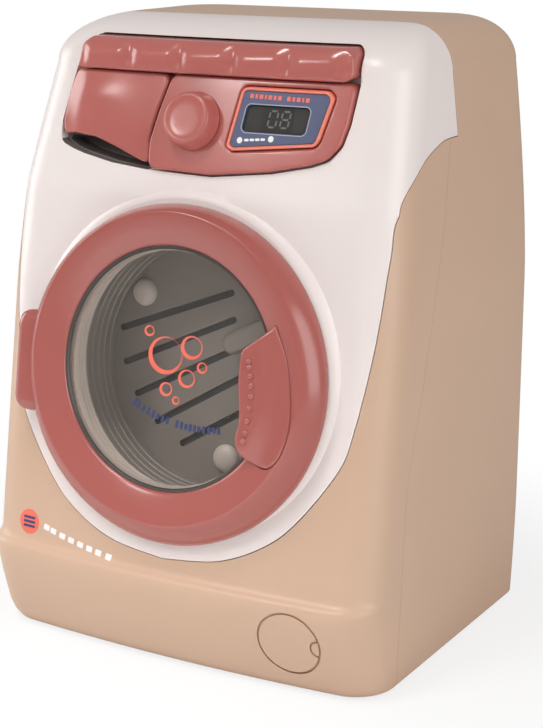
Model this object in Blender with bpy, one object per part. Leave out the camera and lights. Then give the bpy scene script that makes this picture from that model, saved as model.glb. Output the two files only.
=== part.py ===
"""Toy front-loading washing machine, battery driven, about 24 cm tall.

The casing is three moulded shells: a white front panel that wraps over the top edge, a front
shell with the plinth and side columns, and a rear shell. The door and the drum share one axis,
square to the leaning front face. Behind the tub a small motor turns the drum through a compound
gear. Metres, +Z up, the front faces -Y, and the origin is at the middle of the base.
"""

import math

import bmesh
import bpy
from mathutils import Matrix, Vector

MM = 0.001

# Casing
BODY_WIDTH = 172.4 * MM
BODY_HEIGHT = 240.0 * MM
BODY_DEPTH = 139.5 * MM
WALL = 2.4 * MM
GAP = 0.35 * MM
FRONT_BOW = 4.5 * MM
FRONT_CORNER = 16.0 * MM
REAR_CORNER = 13.0 * MM
PLINTH_HEIGHT = 36.5 * MM
PLINTH_BULGE = 10.8 * MM
LIP_STEP = 3.8 * MM
LIP_RISE = 3.5 * MM
BROW_HEIGHT = BODY_HEIGHT * 0.7375
SHOULDER_HEIGHT = BODY_HEIGHT * 0.571
CROWN = 18.0 * MM
FACE_LEAN = math.radians(8.9)
BROW_LEAN = math.radians(19.2)
SIDE_DRAW = 6.9 * MM
FOOT_DRAFT = 1.4 * MM
TOP_SIDE_SETBACK = 24.5 * MM
TOP_HALF_WIDTH = BODY_WIDTH / 2 - TOP_SIDE_SETBACK
TOP_FRONT_SETBACK = 63.8 * MM
TOP_REAR_SETBACK = 15.3 * MM
FRONT_STEPS = 6
CORNER_STEPS = 4
CROWN_STEPS = 4
CUT_OVERRUN = 12.0 * MM

# The door reaches this far ahead of the foot of the plinth, and the base is centred on both
DOOR_REACH = 14.6 * MM
FOOT_FRONT = -BODY_DEPTH / 2 + DOOR_REACH / 2
REAR = FOOT_FRONT + BODY_DEPTH
PANEL_SEAM_Y = REAR - BODY_DEPTH * 0.496

# Control area
RECESS_DEPTH = 3.2 * MM
RECESS_FLOOR = 1.8 * MM
RECESS_MARGIN = 1.8 * MM
PANEL_PROUD = 1.6 * MM
STRIP_PROUD = 4.2 * MM
BEZEL_PROUD = 2.4 * MM
DISPLAY_SINK = 1.0 * MM
FINGER_POCKET_DEPTH = 9.0 * MM
SCOOP_COUNT = 5
SCOOP_DEPTH = 2.6 * MM
KNOB_RADIUS = 11.0 * MM
KNOB_HEIGHT = 6.2 * MM
KNOB_SHAFT_RADIUS = 3.0 * MM
KNOB_X = -2.0 * MM
CONTROL_HEIGHT = BODY_HEIGHT * 0.851
SWITCH_RADIUS = 8.0 * MM
SWITCH_HEIGHT = 5.0 * MM
BOARD_THICKNESS = 1.6 * MM
BOARD_LENGTH = 74.0 * MM
BOARD_HEIGHT = 26.0 * MM
BOARD_POST_RADIUS = 1.8 * MM
MODULE_REACH = 18.0 * MM

# Drawer
TRAY_WIDTH = 31.0 * MM
TRAY_HEIGHT = 13.5 * MM
TRAY_LENGTH = 40.0 * MM
TRAY_WALL = 1.5 * MM
TRAY_LEFT = -57.5 * MM
HOUSING_WALL = 1.5 * MM
DRAWER_CLEARANCE = 0.5 * MM
POCKET_CLEARANCE = 0.6 * MM
POCKET_TOP = BODY_HEIGHT * 0.815 + RECESS_MARGIN
TRAY_BOTTOM = POCKET_TOP + POCKET_CLEARANCE + HOUSING_WALL + DRAWER_CLEARANCE
HOUSING_SETBACK = 2.6 * MM

# Door, on the drum axis
DOOR_HEIGHT = BODY_HEIGHT * 0.48125
DOOR_RADIUS = BODY_HEIGHT * 0.2642
DOOR_DROP = 2.6 * MM
DOOR_SIDE_REACH = 1.3 * MM
DOOR_BACK = 1.0 * MM
DOOR_CROWN = 10.7 * MM
SIGHT_BORDER = 17.9 * MM
WINDOW_LAP = 3.5 * MM
WINDOW_SIGHT_RADIUS = DOOR_RADIUS - SIGHT_BORDER
WINDOW_RADIUS = WINDOW_SIGHT_RADIUS + WINDOW_LAP
WINDOW_THICKNESS = 2.0 * MM
WINDOW_DOME = 1.4 * MM
RETAINER_THICKNESS = 2.2 * MM
RETAINER_LAP = 1.7 * MM
RETAINER_INNER = WINDOW_SIGHT_RADIUS - RETAINER_LAP
HANDLE_THICKNESS = 3.9 * MM
HANDLE_SEAT = 8.9 * MM
HINGE_REACH = 1.9 * MM
HINGE_OFFSET = DOOR_RADIUS + HINGE_REACH
HINGE_STAND = 3.2 * MM
HINGE_DROP = 4.5 * MM
LUG_HEIGHT = 39.0 * MM
LUG_SIDE = 3.6 * MM
LUG_ROOT = 9.0 * MM
LUG_FRONT_WALL = 2.2 * MM
LUG_END_WALL = 3.5 * MM
KNUCKLE_RADIUS = 2.5 * MM
STEM_THICKNESS = 3.2 * MM
PIN_RADIUS = 1.2 * MM
LATCH_LENGTH = 5.6 * MM
LATCH_WIDTH = 8.0 * MM
LATCH_THICKNESS = 2.6 * MM

# Door seat, tub and drum, on the drum axis
COLLAR_TOP = 0.6 * MM
COLLAR_DEPTH = 5.8 * MM
COLLAR_INSET = 0.6 * MM
COLLAR_CLEARANCE = 1.6 * MM
COLLAR_OUTER = DOOR_RADIUS - COLLAR_INSET
COLLAR_INNER = WINDOW_RADIUS + COLLAR_CLEARANCE
MOUTH_DEPTH = 8.6 * MM
MOUTH_STEP = 0.8 * MM
MOUTH_LAP = 2.4 * MM
MOUTH_FLANGE = COLLAR_INNER + MOUTH_LAP
FLANGE_THICKNESS = 2.4 * MM
TUB_WALL = 2.2 * MM
DRUM_LAP = 2.2 * MM
DRUM_RADIUS = COLLAR_INNER + DRUM_LAP
TUB_CLEARANCE = 1.0 * MM
TUB_OUTER = DRUM_RADIUS + TUB_CLEARANCE + TUB_WALL
TUB_LAP = 5.5 * MM
TUB_FLANGE = TUB_OUTER + TUB_LAP
DRUM_WALL = 2.2 * MM
DRUM_DEPTH = 20.8 * MM
DISC_THICKNESS = 2.5 * MM
DRUM_STEPS = 3
DRUM_STEP = 1.1 * MM
RUNNING_GAP = 0.7 * MM
SLOT_COUNT = 5
SLOT_PITCH = DRUM_RADIUS * 0.231
SLOT_WIDTH = 3.0 * MM
SLOT_REACH = DRUM_RADIUS * 0.786
SLOT_END_X = 9.0 * MM
SLOT_ANGLE = math.radians(27)
LIFTER_RADIUS = 4.4 * MM
LIFTER_HEIGHT = 9.0 * MM
LIFTER_START = Vector((11.0 * MM, 9.5 * MM))
DIMPLE_RADIUS = 5.6 * MM
DIMPLE_HEIGHT = 2.6 * MM
HUB_RADIUS = 6.0 * MM
BUSH_WALL = 1.9 * MM
BEARING_WALL = 2.5 * MM
SHAFT_RADIUS = 2.5 * MM

# Gear train
GEAR_MODULE = 0.9 * MM
GEAR_WIDTH = 4.4 * MM
GEAR_BACKLASH = 0.22 * MM
PRESSURE_ANGLE = math.radians(25)
DRUM_GEAR_TEETH = 40
SMALL_GEAR_TEETH = 12
IDLER_TEETH = 32
PINION_TEETH = 12
AXLE_RADIUS = 1.5 * MM
MOTOR_SHAFT_RADIUS = 1.0 * MM
BOX_WALL = 1.8 * MM
BOX_MARGIN = 2.2 * MM
MOTOR_RADIUS = 10.2 * MM
MOTOR_FLAT = 7.6 * MM
MOTOR_LENGTH = 25.0 * MM
MOTOR_BOSS = 3.0 * MM

# Batteries
CELL_RADIUS = 7.2 * MM
CELL_LENGTH = 49.2 * MM
CELL_TIP = 1.2 * MM
CELL_COUNT = 3
CELL_PITCH = 15.0 * MM
BATTERY_BASE = 20.0 * MM
BATTERY_WALL = 1.6 * MM
SPRING_LENGTH = 4.6 * MM
SPRING_RADIUS = 3.4 * MM
SPRING_WIRE = 0.4 * MM
CONTACT_THICKNESS = 0.5 * MM
DOOR_MARGIN = 4.0 * MM
SCREW_EYE = 9.0 * MM

# Sound, screws and feet
SPEAKER_RADIUS = 14.0 * MM
SPEAKER_DEPTH = 6.0 * MM
SPEAKER_HEIGHT = BODY_HEIGHT * 0.625
GRILLE_SLOTS = 5
GRILLE_PITCH = 4.4 * MM
GRILLE_SLOT_WIDTH = 1.8 * MM
SCREW_RADIUS = 1.4 * MM
SCREW_HEAD_RADIUS = 2.8 * MM
SCREW_HEAD_HEIGHT = 2.0 * MM
SCREW_LENGTH = 18.0 * MM
BOSS_RADIUS = 4.6 * MM
BOSS_LENGTH = 14.0 * MM
BOSS_SEAT = 6.0 * MM
POST_RADIUS = 3.8 * MM
SCREW_INSET = 16.2 * MM
SCREW_X = BODY_WIDTH / 2 - SCREW_INSET
LOWER_SCREW_Z = 26.0 * MM
UPPER_SCREW_INSET = 3.7 * MM
UPPER_SCREW_X = TOP_HALF_WIDTH - UPPER_SCREW_INSET
POST_CLEARANCE = 2.7 * MM
UPPER_SCREW_Z = TRAY_BOTTOM + TRAY_HEIGHT + DRAWER_CLEARANCE + HOUSING_WALL + POST_CLEARANCE + POST_RADIUS
FOOT_RADIUS = 6.0 * MM
FOOT_STAND = 1.0 * MM
FOOT_INSET = 20.0 * MM
FRONT_FOOT_INSET = 11.5 * MM
GROOVE_RADIUS = 12.9 * MM
GROOVE_WIDTH = 0.9 * MM
GROOVE_DEPTH = 0.8 * MM
NOTCH_RADIUS = 3.0 * MM
GROOVE_X = 54.8 * MM
GROOVE_Z = 21.6 * MM

FINE_STEPS = 32
ROUND_STEPS = 18
SMALL_STEPS = 8

# How far the plinth has swelled, at shares of its height
plinth_swell_shares = ((0, 0), (0.09, 0.27), (0.4, 0.66), (0.68, 0.88), (0.9, 1.0), (1, 0.97))
# Seam between the front and rear shells, as shares of the depth from the rear and of the height
crease_shares = ((0.541, 0.83), (0.584, 0.755), (0.626, 0.676), (0.676, 0.6), (0.715, 0.521),
                 (0.74, 0.468), (0.816, 0.335), (0.843, 0.172), (0.848, -0.05))
# Lower seam of the front panel seen from the side, as shares of depth and height
panel_side_shares = ((0.496, 0.832), (0.56, 0.831), (0.612, 0.826), (0.708, 0.806), (0.785, 0.772),
                     (0.824, 0.739), (0.842, 0.68))
# The same seam seen from the front, as shares of the half width and of the height
panel_front_shares = ((1.06, 0.77), (0.945, 0.739), (0.932, 0.675), (0.92, 0.589), (0.9, 0.516),
                      (0.86, 0.427), (0.81, 0.366), (0.65, 0.283), (0.5, 0.2335), (0.28, 0.197),
                      (0, 0.1835))
# Outlines in the control area, seen from the front, as shares of the half width and the height
recess_shares = ((-0.634, 0.9745), (-0.682, 0.965), (-0.715, 0.921), (-0.747, 0.838), (-0.737, 0.806),
                 (-0.66, 0.797), (-0.59, 0.791), (-0.43, 0.7815), (-0.235, 0.776), (0.09, 0.7735),
                 (0.375, 0.785), (0.556, 0.7985), (0.63, 0.808), (0.68, 0.83), (0.7, 0.862),
                 (0.712, 0.918), (0.7, 0.963), (0.664, 0.9745))
strip_shares = ((-0.63, 0.9715), (-0.668, 0.961), (-0.682, 0.926), (-0.662, 0.9225), (0.655, 0.9225),
                (0.695, 0.93), (0.688, 0.961), (0.655, 0.9715))
drawer_front_shares = ((-0.705, 0.9145), (-0.725, 0.888), (-0.741, 0.838), (-0.731, 0.817),
                       (-0.655, 0.8205), (-0.54, 0.8175), (-0.45, 0.808), (-0.34, 0.7945),
                       (-0.232, 0.782), (-0.245, 0.82), (-0.222, 0.865), (-0.185, 0.9145))
control_panel_shares = ((-0.177, 0.9145), (-0.214, 0.865), (-0.237, 0.82), (-0.224, 0.7795),
                        (0.09, 0.777), (0.375, 0.7885), (0.552, 0.802), (0.622, 0.811),
                        (0.672, 0.832), (0.692, 0.862), (0.7, 0.9145))
finger_pocket_shares = ((-0.705, 0.815), (-0.715, 0.808), (-0.655, 0.7985), (-0.59, 0.7925),
                        (-0.43, 0.783), (-0.25, 0.7775), (-0.25, 0.787), (-0.4, 0.815))
display_shares = ((0.19, 0.909), (0.588, 0.909), (0.621, 0.9), (0.582, 0.838), (0.566, 0.829),
                  (0.187, 0.8155), (0.154, 0.8215))
display_glass_shares = ((0.236, 0.8835), (0.509, 0.8835), (0.522, 0.879), (0.514, 0.848), (0.499, 0.8445),
                        (0.23, 0.8445), (0.216, 0.849), (0.224, 0.879))
# Posts that carry the circuit board, as shares of its length and height
board_post_shares = ((0.13, -0.38), (0.66, -0.38), (0.13, 0.38))
# Crown of the door ring: share of the way from the sight edge to the rim, and of its height
ring_crown_shares = ((0, 0.75), (0.08, 0.86), (0.22, 0.95), (0.42, 1.0), (0.62, 0.97), (0.8, 0.82),
                     (0.93, 0.58), (1.0, 0.28))
# Handle cap seen from the front, as shares of the door's radius across and up
handle_shares = ((0.73, 0.35), (0.62, 0.25), (0.56, 0.205), (0.535, 0.165), (0.53, 0.02),
                 (0.545, -0.12), (0.553, -0.23), (0.535, -0.32), (0.57, -0.4), (0.65, -0.448),
                 (0.75, -0.465), (0.83, -0.385), (0.878, -0.21), (0.87, -0.045), (0.82, 0.165))


def clear_scene():
    for obj in list(bpy.data.objects):
        bpy.data.objects.remove(obj, do_unlink=True)


def plastic(name, colour, roughness=0.35, metallic=0.0, alpha=1.0):
    """A Principled material with the part's colour."""
    material = bpy.data.materials.new(name)
    material.use_nodes = True
    shader = material.node_tree.nodes["Principled BSDF"]
    shader.inputs["Base Color"].default_value = (*colour, 1.0)
    shader.inputs["Roughness"].default_value = roughness
    shader.inputs["Metallic"].default_value = metallic
    shader.inputs["Alpha"].default_value = alpha
    return material


def finish(name, bm, material, frame=None):
    """Turns a bmesh into a named object whose faces point outwards."""
    bmesh.ops.recalc_face_normals(bm, faces=bm.faces)
    mesh = bpy.data.meshes.new(name)
    bm.to_mesh(mesh)
    bm.free()
    mesh.shade_smooth()
    mesh.set_sharp_from_angle(angle=math.radians(35))
    obj = bpy.data.objects.new(name, mesh)
    bpy.context.scene.collection.objects.link(obj)
    if material is not None:
        mesh.materials.append(material)
    if frame is not None:
        obj.matrix_world = frame
    return obj


def carve(obj, tool, operation="DIFFERENCE"):
    """Adds a Boolean that cuts, joins or keeps the tool's volume, and hides the tool."""
    tool.hide_render = True
    tool.display_type = "WIRE"
    modifier = obj.modifiers.new(tool.name, "BOOLEAN")
    modifier.object = tool
    modifier.operation = operation
    modifier.solver = "EXACT"
    return obj


def smooth_curve(points, steps):
    """Points along a Catmull-Rom curve through the given 2-D points."""
    ends = [points[0], *points, points[-1]]
    curve = []
    for i in range(1, len(ends) - 2):
        p0, p1, p2, p3 = (Vector(p) for p in ends[i - 1:i + 3])
        for k in range(steps):
            t = k / steps
            curve.append(((2 * p1) + (p2 - p0) * t + (2 * p0 - 5 * p1 + 4 * p2 - p3) * t * t
                          + (3 * p1 - p0 - 3 * p2 + p3) * t ** 3) / 2)
    return [*curve, Vector(points[-1])]


def area_of(outline):
    return sum(a[0] * b[1] - b[0] * a[1] for a, b in zip(outline, [*outline[1:], outline[0]])) / 2


def offset_outline(outline, distance):
    """The outline moved outwards by a distance, or inwards where it is negative."""
    sign = 1 if area_of(outline) > 0 else -1
    moved = []
    for i, point in enumerate(outline):
        before = (Vector(point) - Vector(outline[i - 1])).normalized()
        after = (Vector(outline[(i + 1) % len(outline)]) - Vector(point)).normalized()
        normal = Vector((before.y + after.y, -before.x - after.x)).normalized()
        reach = distance / max(normal.dot(Vector((before.y, -before.x))), 0.5)
        moved.append(Vector(point) + normal * reach * sign)
    return moved


def prism(name, outline, axis, low, high, material=None, frame=None):
    """An outline extruded along X, Y or Z from low to high. The outline's axes follow in order."""
    place = {"X": lambda p, h: (h, p[0], p[1]),
             "Y": lambda p, h: (p[0], h, p[1]),
             "Z": lambda p, h: (p[0], p[1], h)}[axis]
    bm = bmesh.new()
    base = bm.faces.new([bm.verts.new(place(p, low)) for p in outline])
    top = bmesh.ops.extrude_face_region(bm, geom=[base])["geom"]
    shift = Vector(place((0, 0), high)) - Vector(place((0, 0), low))
    verts = [item for item in top if isinstance(item, bmesh.types.BMVert)]
    bmesh.ops.translate(bm, verts=verts, vec=shift)
    return finish(name, bm, material, frame)


def block(name, low, high, material=None, frame=None):
    """A box between two corners."""
    outline = [(low[0], low[1]), (high[0], low[1]), (high[0], high[1]), (low[0], high[1])]
    return prism(name, outline, "Z", low[2], high[2], material, frame)


def turned(name, profile, steps, material=None, frame=None, centre=(0, 0)):
    """A closed (radius, height) profile turned about the local Z axis through a centre."""
    bm = bmesh.new()
    rings = []
    for k in range(steps):
        angle = 2 * math.pi * k / steps
        spot = [(centre[0] + r * math.cos(angle), centre[1] + r * math.sin(angle), h) for r, h in profile]
        rings.append([bm.verts.new(p) for p in spot])
    for k, ring in enumerate(rings):
        after = rings[(k + 1) % steps]
        for i in range(len(profile)):
            j = (i + 1) % len(profile)
            if profile[i][0] == 0 and profile[j][0] == 0:
                continue
            bm.faces.new((ring[i], ring[j], after[j], after[i]))
    bmesh.ops.remove_doubles(bm, verts=bm.verts, dist=GAP / 1000)
    bmesh.ops.dissolve_degenerate(bm, edges=bm.edges, dist=GAP / 1000)
    return finish(name, bm, material, frame)


def rod(name, radius, low, high, steps, material=None, frame=None, centre=(0, 0)):
    """A plain cylinder along the local Z axis."""
    profile = [(0, low), (radius, low), (radius, high), (0, high)]
    return turned(name, profile, steps, material, frame, centre)


def tube(name, outer, inner, low, high, steps, material=None, frame=None, centre=(0, 0)):
    profile = [(inner, low), (outer, low), (outer, high), (inner, high)]
    return turned(name, profile, steps, material, frame, centre)


def cushion(name, outline, levels, material=None, frame=None):
    """An outline raised through (height, inset) levels, so that its upper edges are eased."""
    bm = bmesh.new()
    rings = [[bm.verts.new((x, y, height)) for x, y in offset_outline(outline, -inset)]
             for height, inset in levels]
    for lower, upper in zip(rings, rings[1:]):
        for i in range(len(lower)):
            j = (i + 1) % len(lower)
            bm.faces.new((lower[i], lower[j], upper[j], upper[i]))
    bm.faces.new(rings[0][::-1])
    bm.faces.new(rings[-1])
    return finish(name, bm, material, frame)


def hull_of_circles(circles, steps):
    """The outline stretched round several (x, y, radius) circles."""
    points = sorted((x + r * math.cos(2 * math.pi * k / steps), y + r * math.sin(2 * math.pi * k / steps))
                    for x, y, r in circles for k in range(steps))

    def half(ordered):
        chain = []
        for p in ordered:
            while len(chain) > 1 and ((chain[-1][0] - chain[-2][0]) * (p[1] - chain[-2][1])
                                      <= (chain[-1][1] - chain[-2][1]) * (p[0] - chain[-2][0])):
                chain.pop()
            chain.append(p)
        return chain[:-1]

    return half(points) + half(points[::-1])


# Form of the casing

def front_at(z):
    """Y of the casing's skin on the centre line at height z."""
    lip = FOOT_FRONT - PLINTH_BULGE
    if z <= PLINTH_HEIGHT:
        share = max(z, 0) / PLINTH_HEIGHT
        for (a, low), (b, high) in zip(plinth_swell_shares, plinth_swell_shares[1:]):
            if share <= b:
                return FOOT_FRONT - PLINTH_BULGE * (low + (high - low) * (share - a) / (b - a))
    face_foot = PLINTH_HEIGHT + LIP_RISE
    if z <= face_foot:
        edge = FOOT_FRONT - PLINTH_BULGE * plinth_swell_shares[-1][1]
        return edge + (lip + LIP_STEP - edge) * (z - PLINTH_HEIGHT) / LIP_RISE
    if z <= BROW_HEIGHT:
        return lip + LIP_STEP + (z - face_foot) * math.tan(FACE_LEAN)
    brow = lip + LIP_STEP + (BROW_HEIGHT - face_foot) * math.tan(FACE_LEAN)
    if z <= BODY_HEIGHT - CROWN:
        return brow + (z - BROW_HEIGHT) * math.tan(BROW_LEAN)
    base = brow + (BODY_HEIGHT - CROWN - BROW_HEIGHT) * math.tan(BROW_LEAN)
    return base + (FOOT_FRONT + TOP_FRONT_SETBACK - base) * crown_fall(z)


def crown_fall(z):
    """How far round the crown a height lies: 0 at its foot, 1 on the flat top."""
    rise = min(max((z - BODY_HEIGHT + CROWN) / CROWN, 0), 1)
    return 1 - math.sqrt(1 - rise * rise)


def half_width_at(z):
    half = BODY_WIDTH / 2
    foot = max(1 - z / (PLINTH_HEIGHT * 1.6), 0)
    half -= FOOT_DRAFT * foot * foot
    rise = max(min(z, BODY_HEIGHT - CROWN) - SHOULDER_HEIGHT, 0) / (BODY_HEIGHT - CROWN - SHOULDER_HEIGHT)
    half -= SIDE_DRAW * rise ** 1.5
    return half + (TOP_HALF_WIDTH - half) * crown_fall(z)


def rear_at(z):
    return REAR - TOP_REAR_SETBACK * crown_fall(z)


def stations():
    """Heights of the casing's sections, from the base to the flat top."""
    foot = [share * PLINTH_HEIGHT for share, _ in plinth_swell_shares]
    face = [PLINTH_HEIGHT + LIP_RISE, SHOULDER_HEIGHT * 0.6, SHOULDER_HEIGHT]
    brow = [SHOULDER_HEIGHT + (BROW_HEIGHT - SHOULDER_HEIGHT) * k / 2 for k in (1, 2)]
    crown_foot = BODY_HEIGHT - CROWN
    brow += [BROW_HEIGHT + (crown_foot - BROW_HEIGHT) * k / 2 for k in (1, 2)]
    crown = [crown_foot + CROWN * math.sin(math.pi / 2 * k / CROWN_STEPS) for k in range(1, CROWN_STEPS + 1)]
    return foot + face + brow + crown


def section(z, inset):
    """The casing's plan outline at height z, moved inwards by inset."""
    half = half_width_at(z) - inset
    front = front_at(z) + inset
    rear = rear_at(z) - inset
    nose = max(FRONT_CORNER - inset, FRONT_CORNER / 4)
    heel = max(REAR_CORNER - inset, REAR_CORNER / 4)
    flat = half - nose
    outline = []
    for k in range(FRONT_STEPS + 1):
        x = -flat + 2 * flat * k / FRONT_STEPS
        outline.append((x, front + FRONT_BOW * (x / half) ** 2))
    shoulder = front + FRONT_BOW * (flat / half) ** 2 + nose
    turn = [math.pi / 2 * k / CORNER_STEPS for k in range(1, CORNER_STEPS + 1)]
    outline += [(flat + nose * math.sin(a), shoulder - nose * math.cos(a)) for a in turn]
    back = [math.pi / 2 * k / CORNER_STEPS for k in range(CORNER_STEPS + 1)]
    outline += [(half - heel + heel * math.cos(a), rear - heel + heel * math.sin(a)) for a in back]
    outline += [(-x, y) for x, y in outline[:FRONT_STEPS:-1]]
    return outline


def casing(name, inset, material=None):
    """The casing as a closed loft, moved inwards by inset, or outwards where it is negative."""
    bm = bmesh.new()
    rings = []
    for z in stations():
        height = FOOT_STAND + inset + z * (BODY_HEIGHT - FOOT_STAND - 2 * inset) / BODY_HEIGHT
        rings.append([bm.verts.new((x, y, height)) for x, y in section(z, inset)])
    for lower, upper in zip(rings, rings[1:]):
        for i in range(len(lower)):
            j = (i + 1) % len(lower)
            bm.faces.new((lower[i], lower[j], upper[j], upper[i]))
    bm.faces.new(rings[0][::-1])
    bm.faces.new(rings[-1])
    return finish(name, bm, material)


def skin(name, outer, inner, material=None):
    """The layer of the casing between two insets."""
    layer = casing(name, outer, material)
    return carve(layer, casing(name + "_core", inner), "DIFFERENCE")


def from_rear(shares):
    return [(REAR - BODY_DEPTH * d, BODY_HEIGHT * h) for d, h in shares]


def from_front(shares):
    return [(BODY_WIDTH / 2 * x, BODY_HEIGHT * h) for x, h in shares]


def front_layer(name, outline, outer, inner, material):
    """A moulding that follows the front skin inside an outline seen from the front."""
    plate = skin(name, outer, inner, material)
    keep = prism(name + "_outline", outline, "Y", FOOT_FRONT - BODY_DEPTH, FOOT_FRONT + TOP_FRONT_SETBACK)
    return carve(plate, keep, "INTERSECT")


def front_half_outline(shift):
    """Side view of everything ahead of the rear shell, with its seam moved back by shift."""
    crease = smooth_curve(from_rear(crease_shares), 2)
    top = [(PANEL_SEAM_Y, BODY_HEIGHT + CUT_OVERRUN), (PANEL_SEAM_Y, BODY_HEIGHT * crease_shares[0][1])]
    far = FOOT_FRONT - BODY_DEPTH
    seam = [(y + shift, z) for y, z in [*top, *crease]]
    return [*seam, (far, seam[-1][1]), (far, seam[0][1])]


def panel_tools(name, shift):
    """Two prisms that meet in the front panel's region, its seam moved outwards by shift."""
    side = smooth_curve(from_rear(panel_side_shares), 2)
    far = FOOT_FRONT - BODY_DEPTH
    side = [(PANEL_SEAM_Y, BODY_HEIGHT + CUT_OVERRUN), *side, (side[-1][0], -CUT_OVERRUN),
            (far, -CUT_OVERRUN), (far, BODY_HEIGHT + CUT_OVERRUN)]
    right = smooth_curve(from_front(panel_front_shares), 2)
    wide = BODY_WIDTH / 2 + CUT_OVERRUN
    front = [(wide, BODY_HEIGHT + CUT_OVERRUN), (wide, right[0][1]), *right]
    front += [(-x, z) for x, z in front[-2::-1]]
    seen_from_side = prism(name + "_side", offset_outline(side, shift), "X", -wide, wide)
    seen_from_front = prism(name + "_front", offset_outline(front, shift), "Y", far, PANEL_SEAM_Y + CUT_OVERRUN)
    return seen_from_side, seen_from_front


def leaning_frame(height, lean, depth=0.0):
    """A frame on the skin at a height: local X to the right, Y up the face and Z outwards."""
    turn = Matrix.Rotation(math.pi / 2 - lean, 4, "X")
    return Matrix.Translation((0, front_at(height) + depth, height)) @ turn


def pivot(name, place, moved):
    """An empty on a joint's axis, which carries the pieces that move with it."""
    empty = bpy.data.objects.new(name, None)
    bpy.context.scene.collection.objects.link(empty)
    empty.matrix_world = place
    bpy.context.view_layer.update()
    for obj in moved:
        obj.parent = empty
        obj.matrix_parent_inverse = empty.matrix_world.inverted()
    return empty


# Gears

def involute(angle):
    return math.tan(angle) - angle


def gear_outline(teeth, tooth_at):
    """An involute gear's outline with one tooth centred on the angle tooth_at."""
    pitch = GEAR_MODULE * teeth / 2
    base = pitch * math.cos(PRESSURE_ANGLE)
    tip = pitch + GEAR_MODULE * 0.92
    root = pitch - GEAR_MODULE * 1.2
    radii = [root, pitch, tip]
    half_pitch = math.pi / 2 / teeth - GEAR_BACKLASH / 2 / pitch + involute(PRESSURE_ANGLE)

    def half_angle(radius):
        return half_pitch - involute(math.acos(min(base / radius, 1)))

    flank = [(r, half_angle(max(r, base))) for r in radii]
    outline = []
    for k in range(teeth):
        centre = tooth_at + 2 * math.pi * k / teeth
        for r, a in flank:
            outline.append((r * math.cos(centre - a), r * math.sin(centre - a)))
        for r, a in flank[::-1]:
            outline.append((r * math.cos(centre + a), r * math.sin(centre + a)))
    return outline


def gear(name, teeth, tooth_at, centre, low, high, material, frame):
    outline = [(centre[0] + x, centre[1] + y) for x, y in gear_outline(teeth, tooth_at)]
    return prism(name, outline, "Z", low, high, material, frame)


# Materials

def make_materials():
    return {
        "white": plastic("white_abs", (0.86, 0.8, 0.78), 0.3),
        "beige": plastic("beige_satin_abs", (0.58, 0.38, 0.25), 0.42),
        "rose": plastic("rose_gloss_abs", (0.48, 0.12, 0.1), 0.25),
        "grey": plastic("grey_polypropylene", (0.35, 0.31, 0.29), 0.4),
        "light": plastic("light_grey_polypropylene", (0.52, 0.48, 0.45), 0.4),
        "clear": plastic("clear_polystyrene", (0.8, 0.8, 0.8), 0.05, alpha=0.3),
        "navy": plastic("navy_abs", (0.07, 0.09, 0.16), 0.35),
        "coral": plastic("coral_abs", (0.9, 0.25, 0.16), 0.35),
        "lcd": plastic("lcd_glass", (0.07, 0.065, 0.06), 0.15),
        "dark": plastic("dark_polypropylene", (0.03, 0.03, 0.032), 0.5),
        "gear": plastic("acetal", (0.75, 0.74, 0.7), 0.3),
        "steel": plastic("steel", (0.55, 0.55, 0.56), 0.25, 1.0),
        "board": plastic("glass_epoxy", (0.03, 0.16, 0.07), 0.5),
        "rubber": plastic("rubber", (0.05, 0.05, 0.05), 0.8),
        "cell": plastic("zinc_cell_jacket", (0.12, 0.12, 0.13), 0.35),
    }


# Casing shells

def case_post(name, x, z, front, rear, material=None):
    """A round post along Y with a pilot hole for a case screw in its rear end."""
    frame = Matrix.Translation((x, 0, z)) @ Matrix.Rotation(math.pi / 2, 4, "X")
    pilot = SCREW_RADIUS + GAP / 2
    deep = SCREW_LENGTH - BOSS_LENGTH + BOSS_SEAT + WALL + GAP
    profile = [(0, -front), (POST_RADIUS, -front), (POST_RADIUS, -rear), (pilot, -rear),
               (pilot, -rear + deep), (0, -rear + deep)]
    return turned(name, profile, SMALL_STEPS, material, frame)


def post_end():
    """Y of the rear end of the posts, just ahead of the rear shell's bosses."""
    return REAR - BOSS_LENGTH - GAP


def screw_places():
    return ((-SCREW_X, LOWER_SCREW_Z), (SCREW_X, LOWER_SCREW_Z),
            (-UPPER_SCREW_X, UPPER_SCREW_Z), (UPPER_SCREW_X, UPPER_SCREW_Z))


def make_rear_shell(materials):
    shell = skin("rear_shell", 0, WALL, materials["beige"])
    inner = REAR - BOSS_LENGTH
    frames = [Matrix.Translation((x, 0, z)) @ Matrix.Rotation(math.pi / 2, 4, "X") for x, z in screw_places()]
    for frame in frames:
        outer = REAR - WALL / 2
        carve(shell, rod("rear_boss", BOSS_RADIUS, -outer, -inner, ROUND_STEPS, None, frame), "UNION")
    seat = SCREW_HEAD_RADIUS + GAP
    bore = SCREW_RADIUS + GAP
    far = REAR + CUT_OVERRUN
    for frame in frames:
        carve(shell, rod("screw_seat", seat, -far, -REAR + BOSS_SEAT, SMALL_STEPS, None, frame))
        carve(shell, rod("screw_bore", bore, -far, -inner + CUT_OVERRUN, SMALL_STEPS, None, frame))
    wide = BODY_WIDTH
    carve(shell, prism("rear_shell_seam", front_half_outline(GAP / 2), "X", -wide, wide))
    cut_speaker_grille(shell)
    cut_battery_opening(shell)
    cut_feet(shell, REAR - FOOT_INSET)
    return shell


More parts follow.
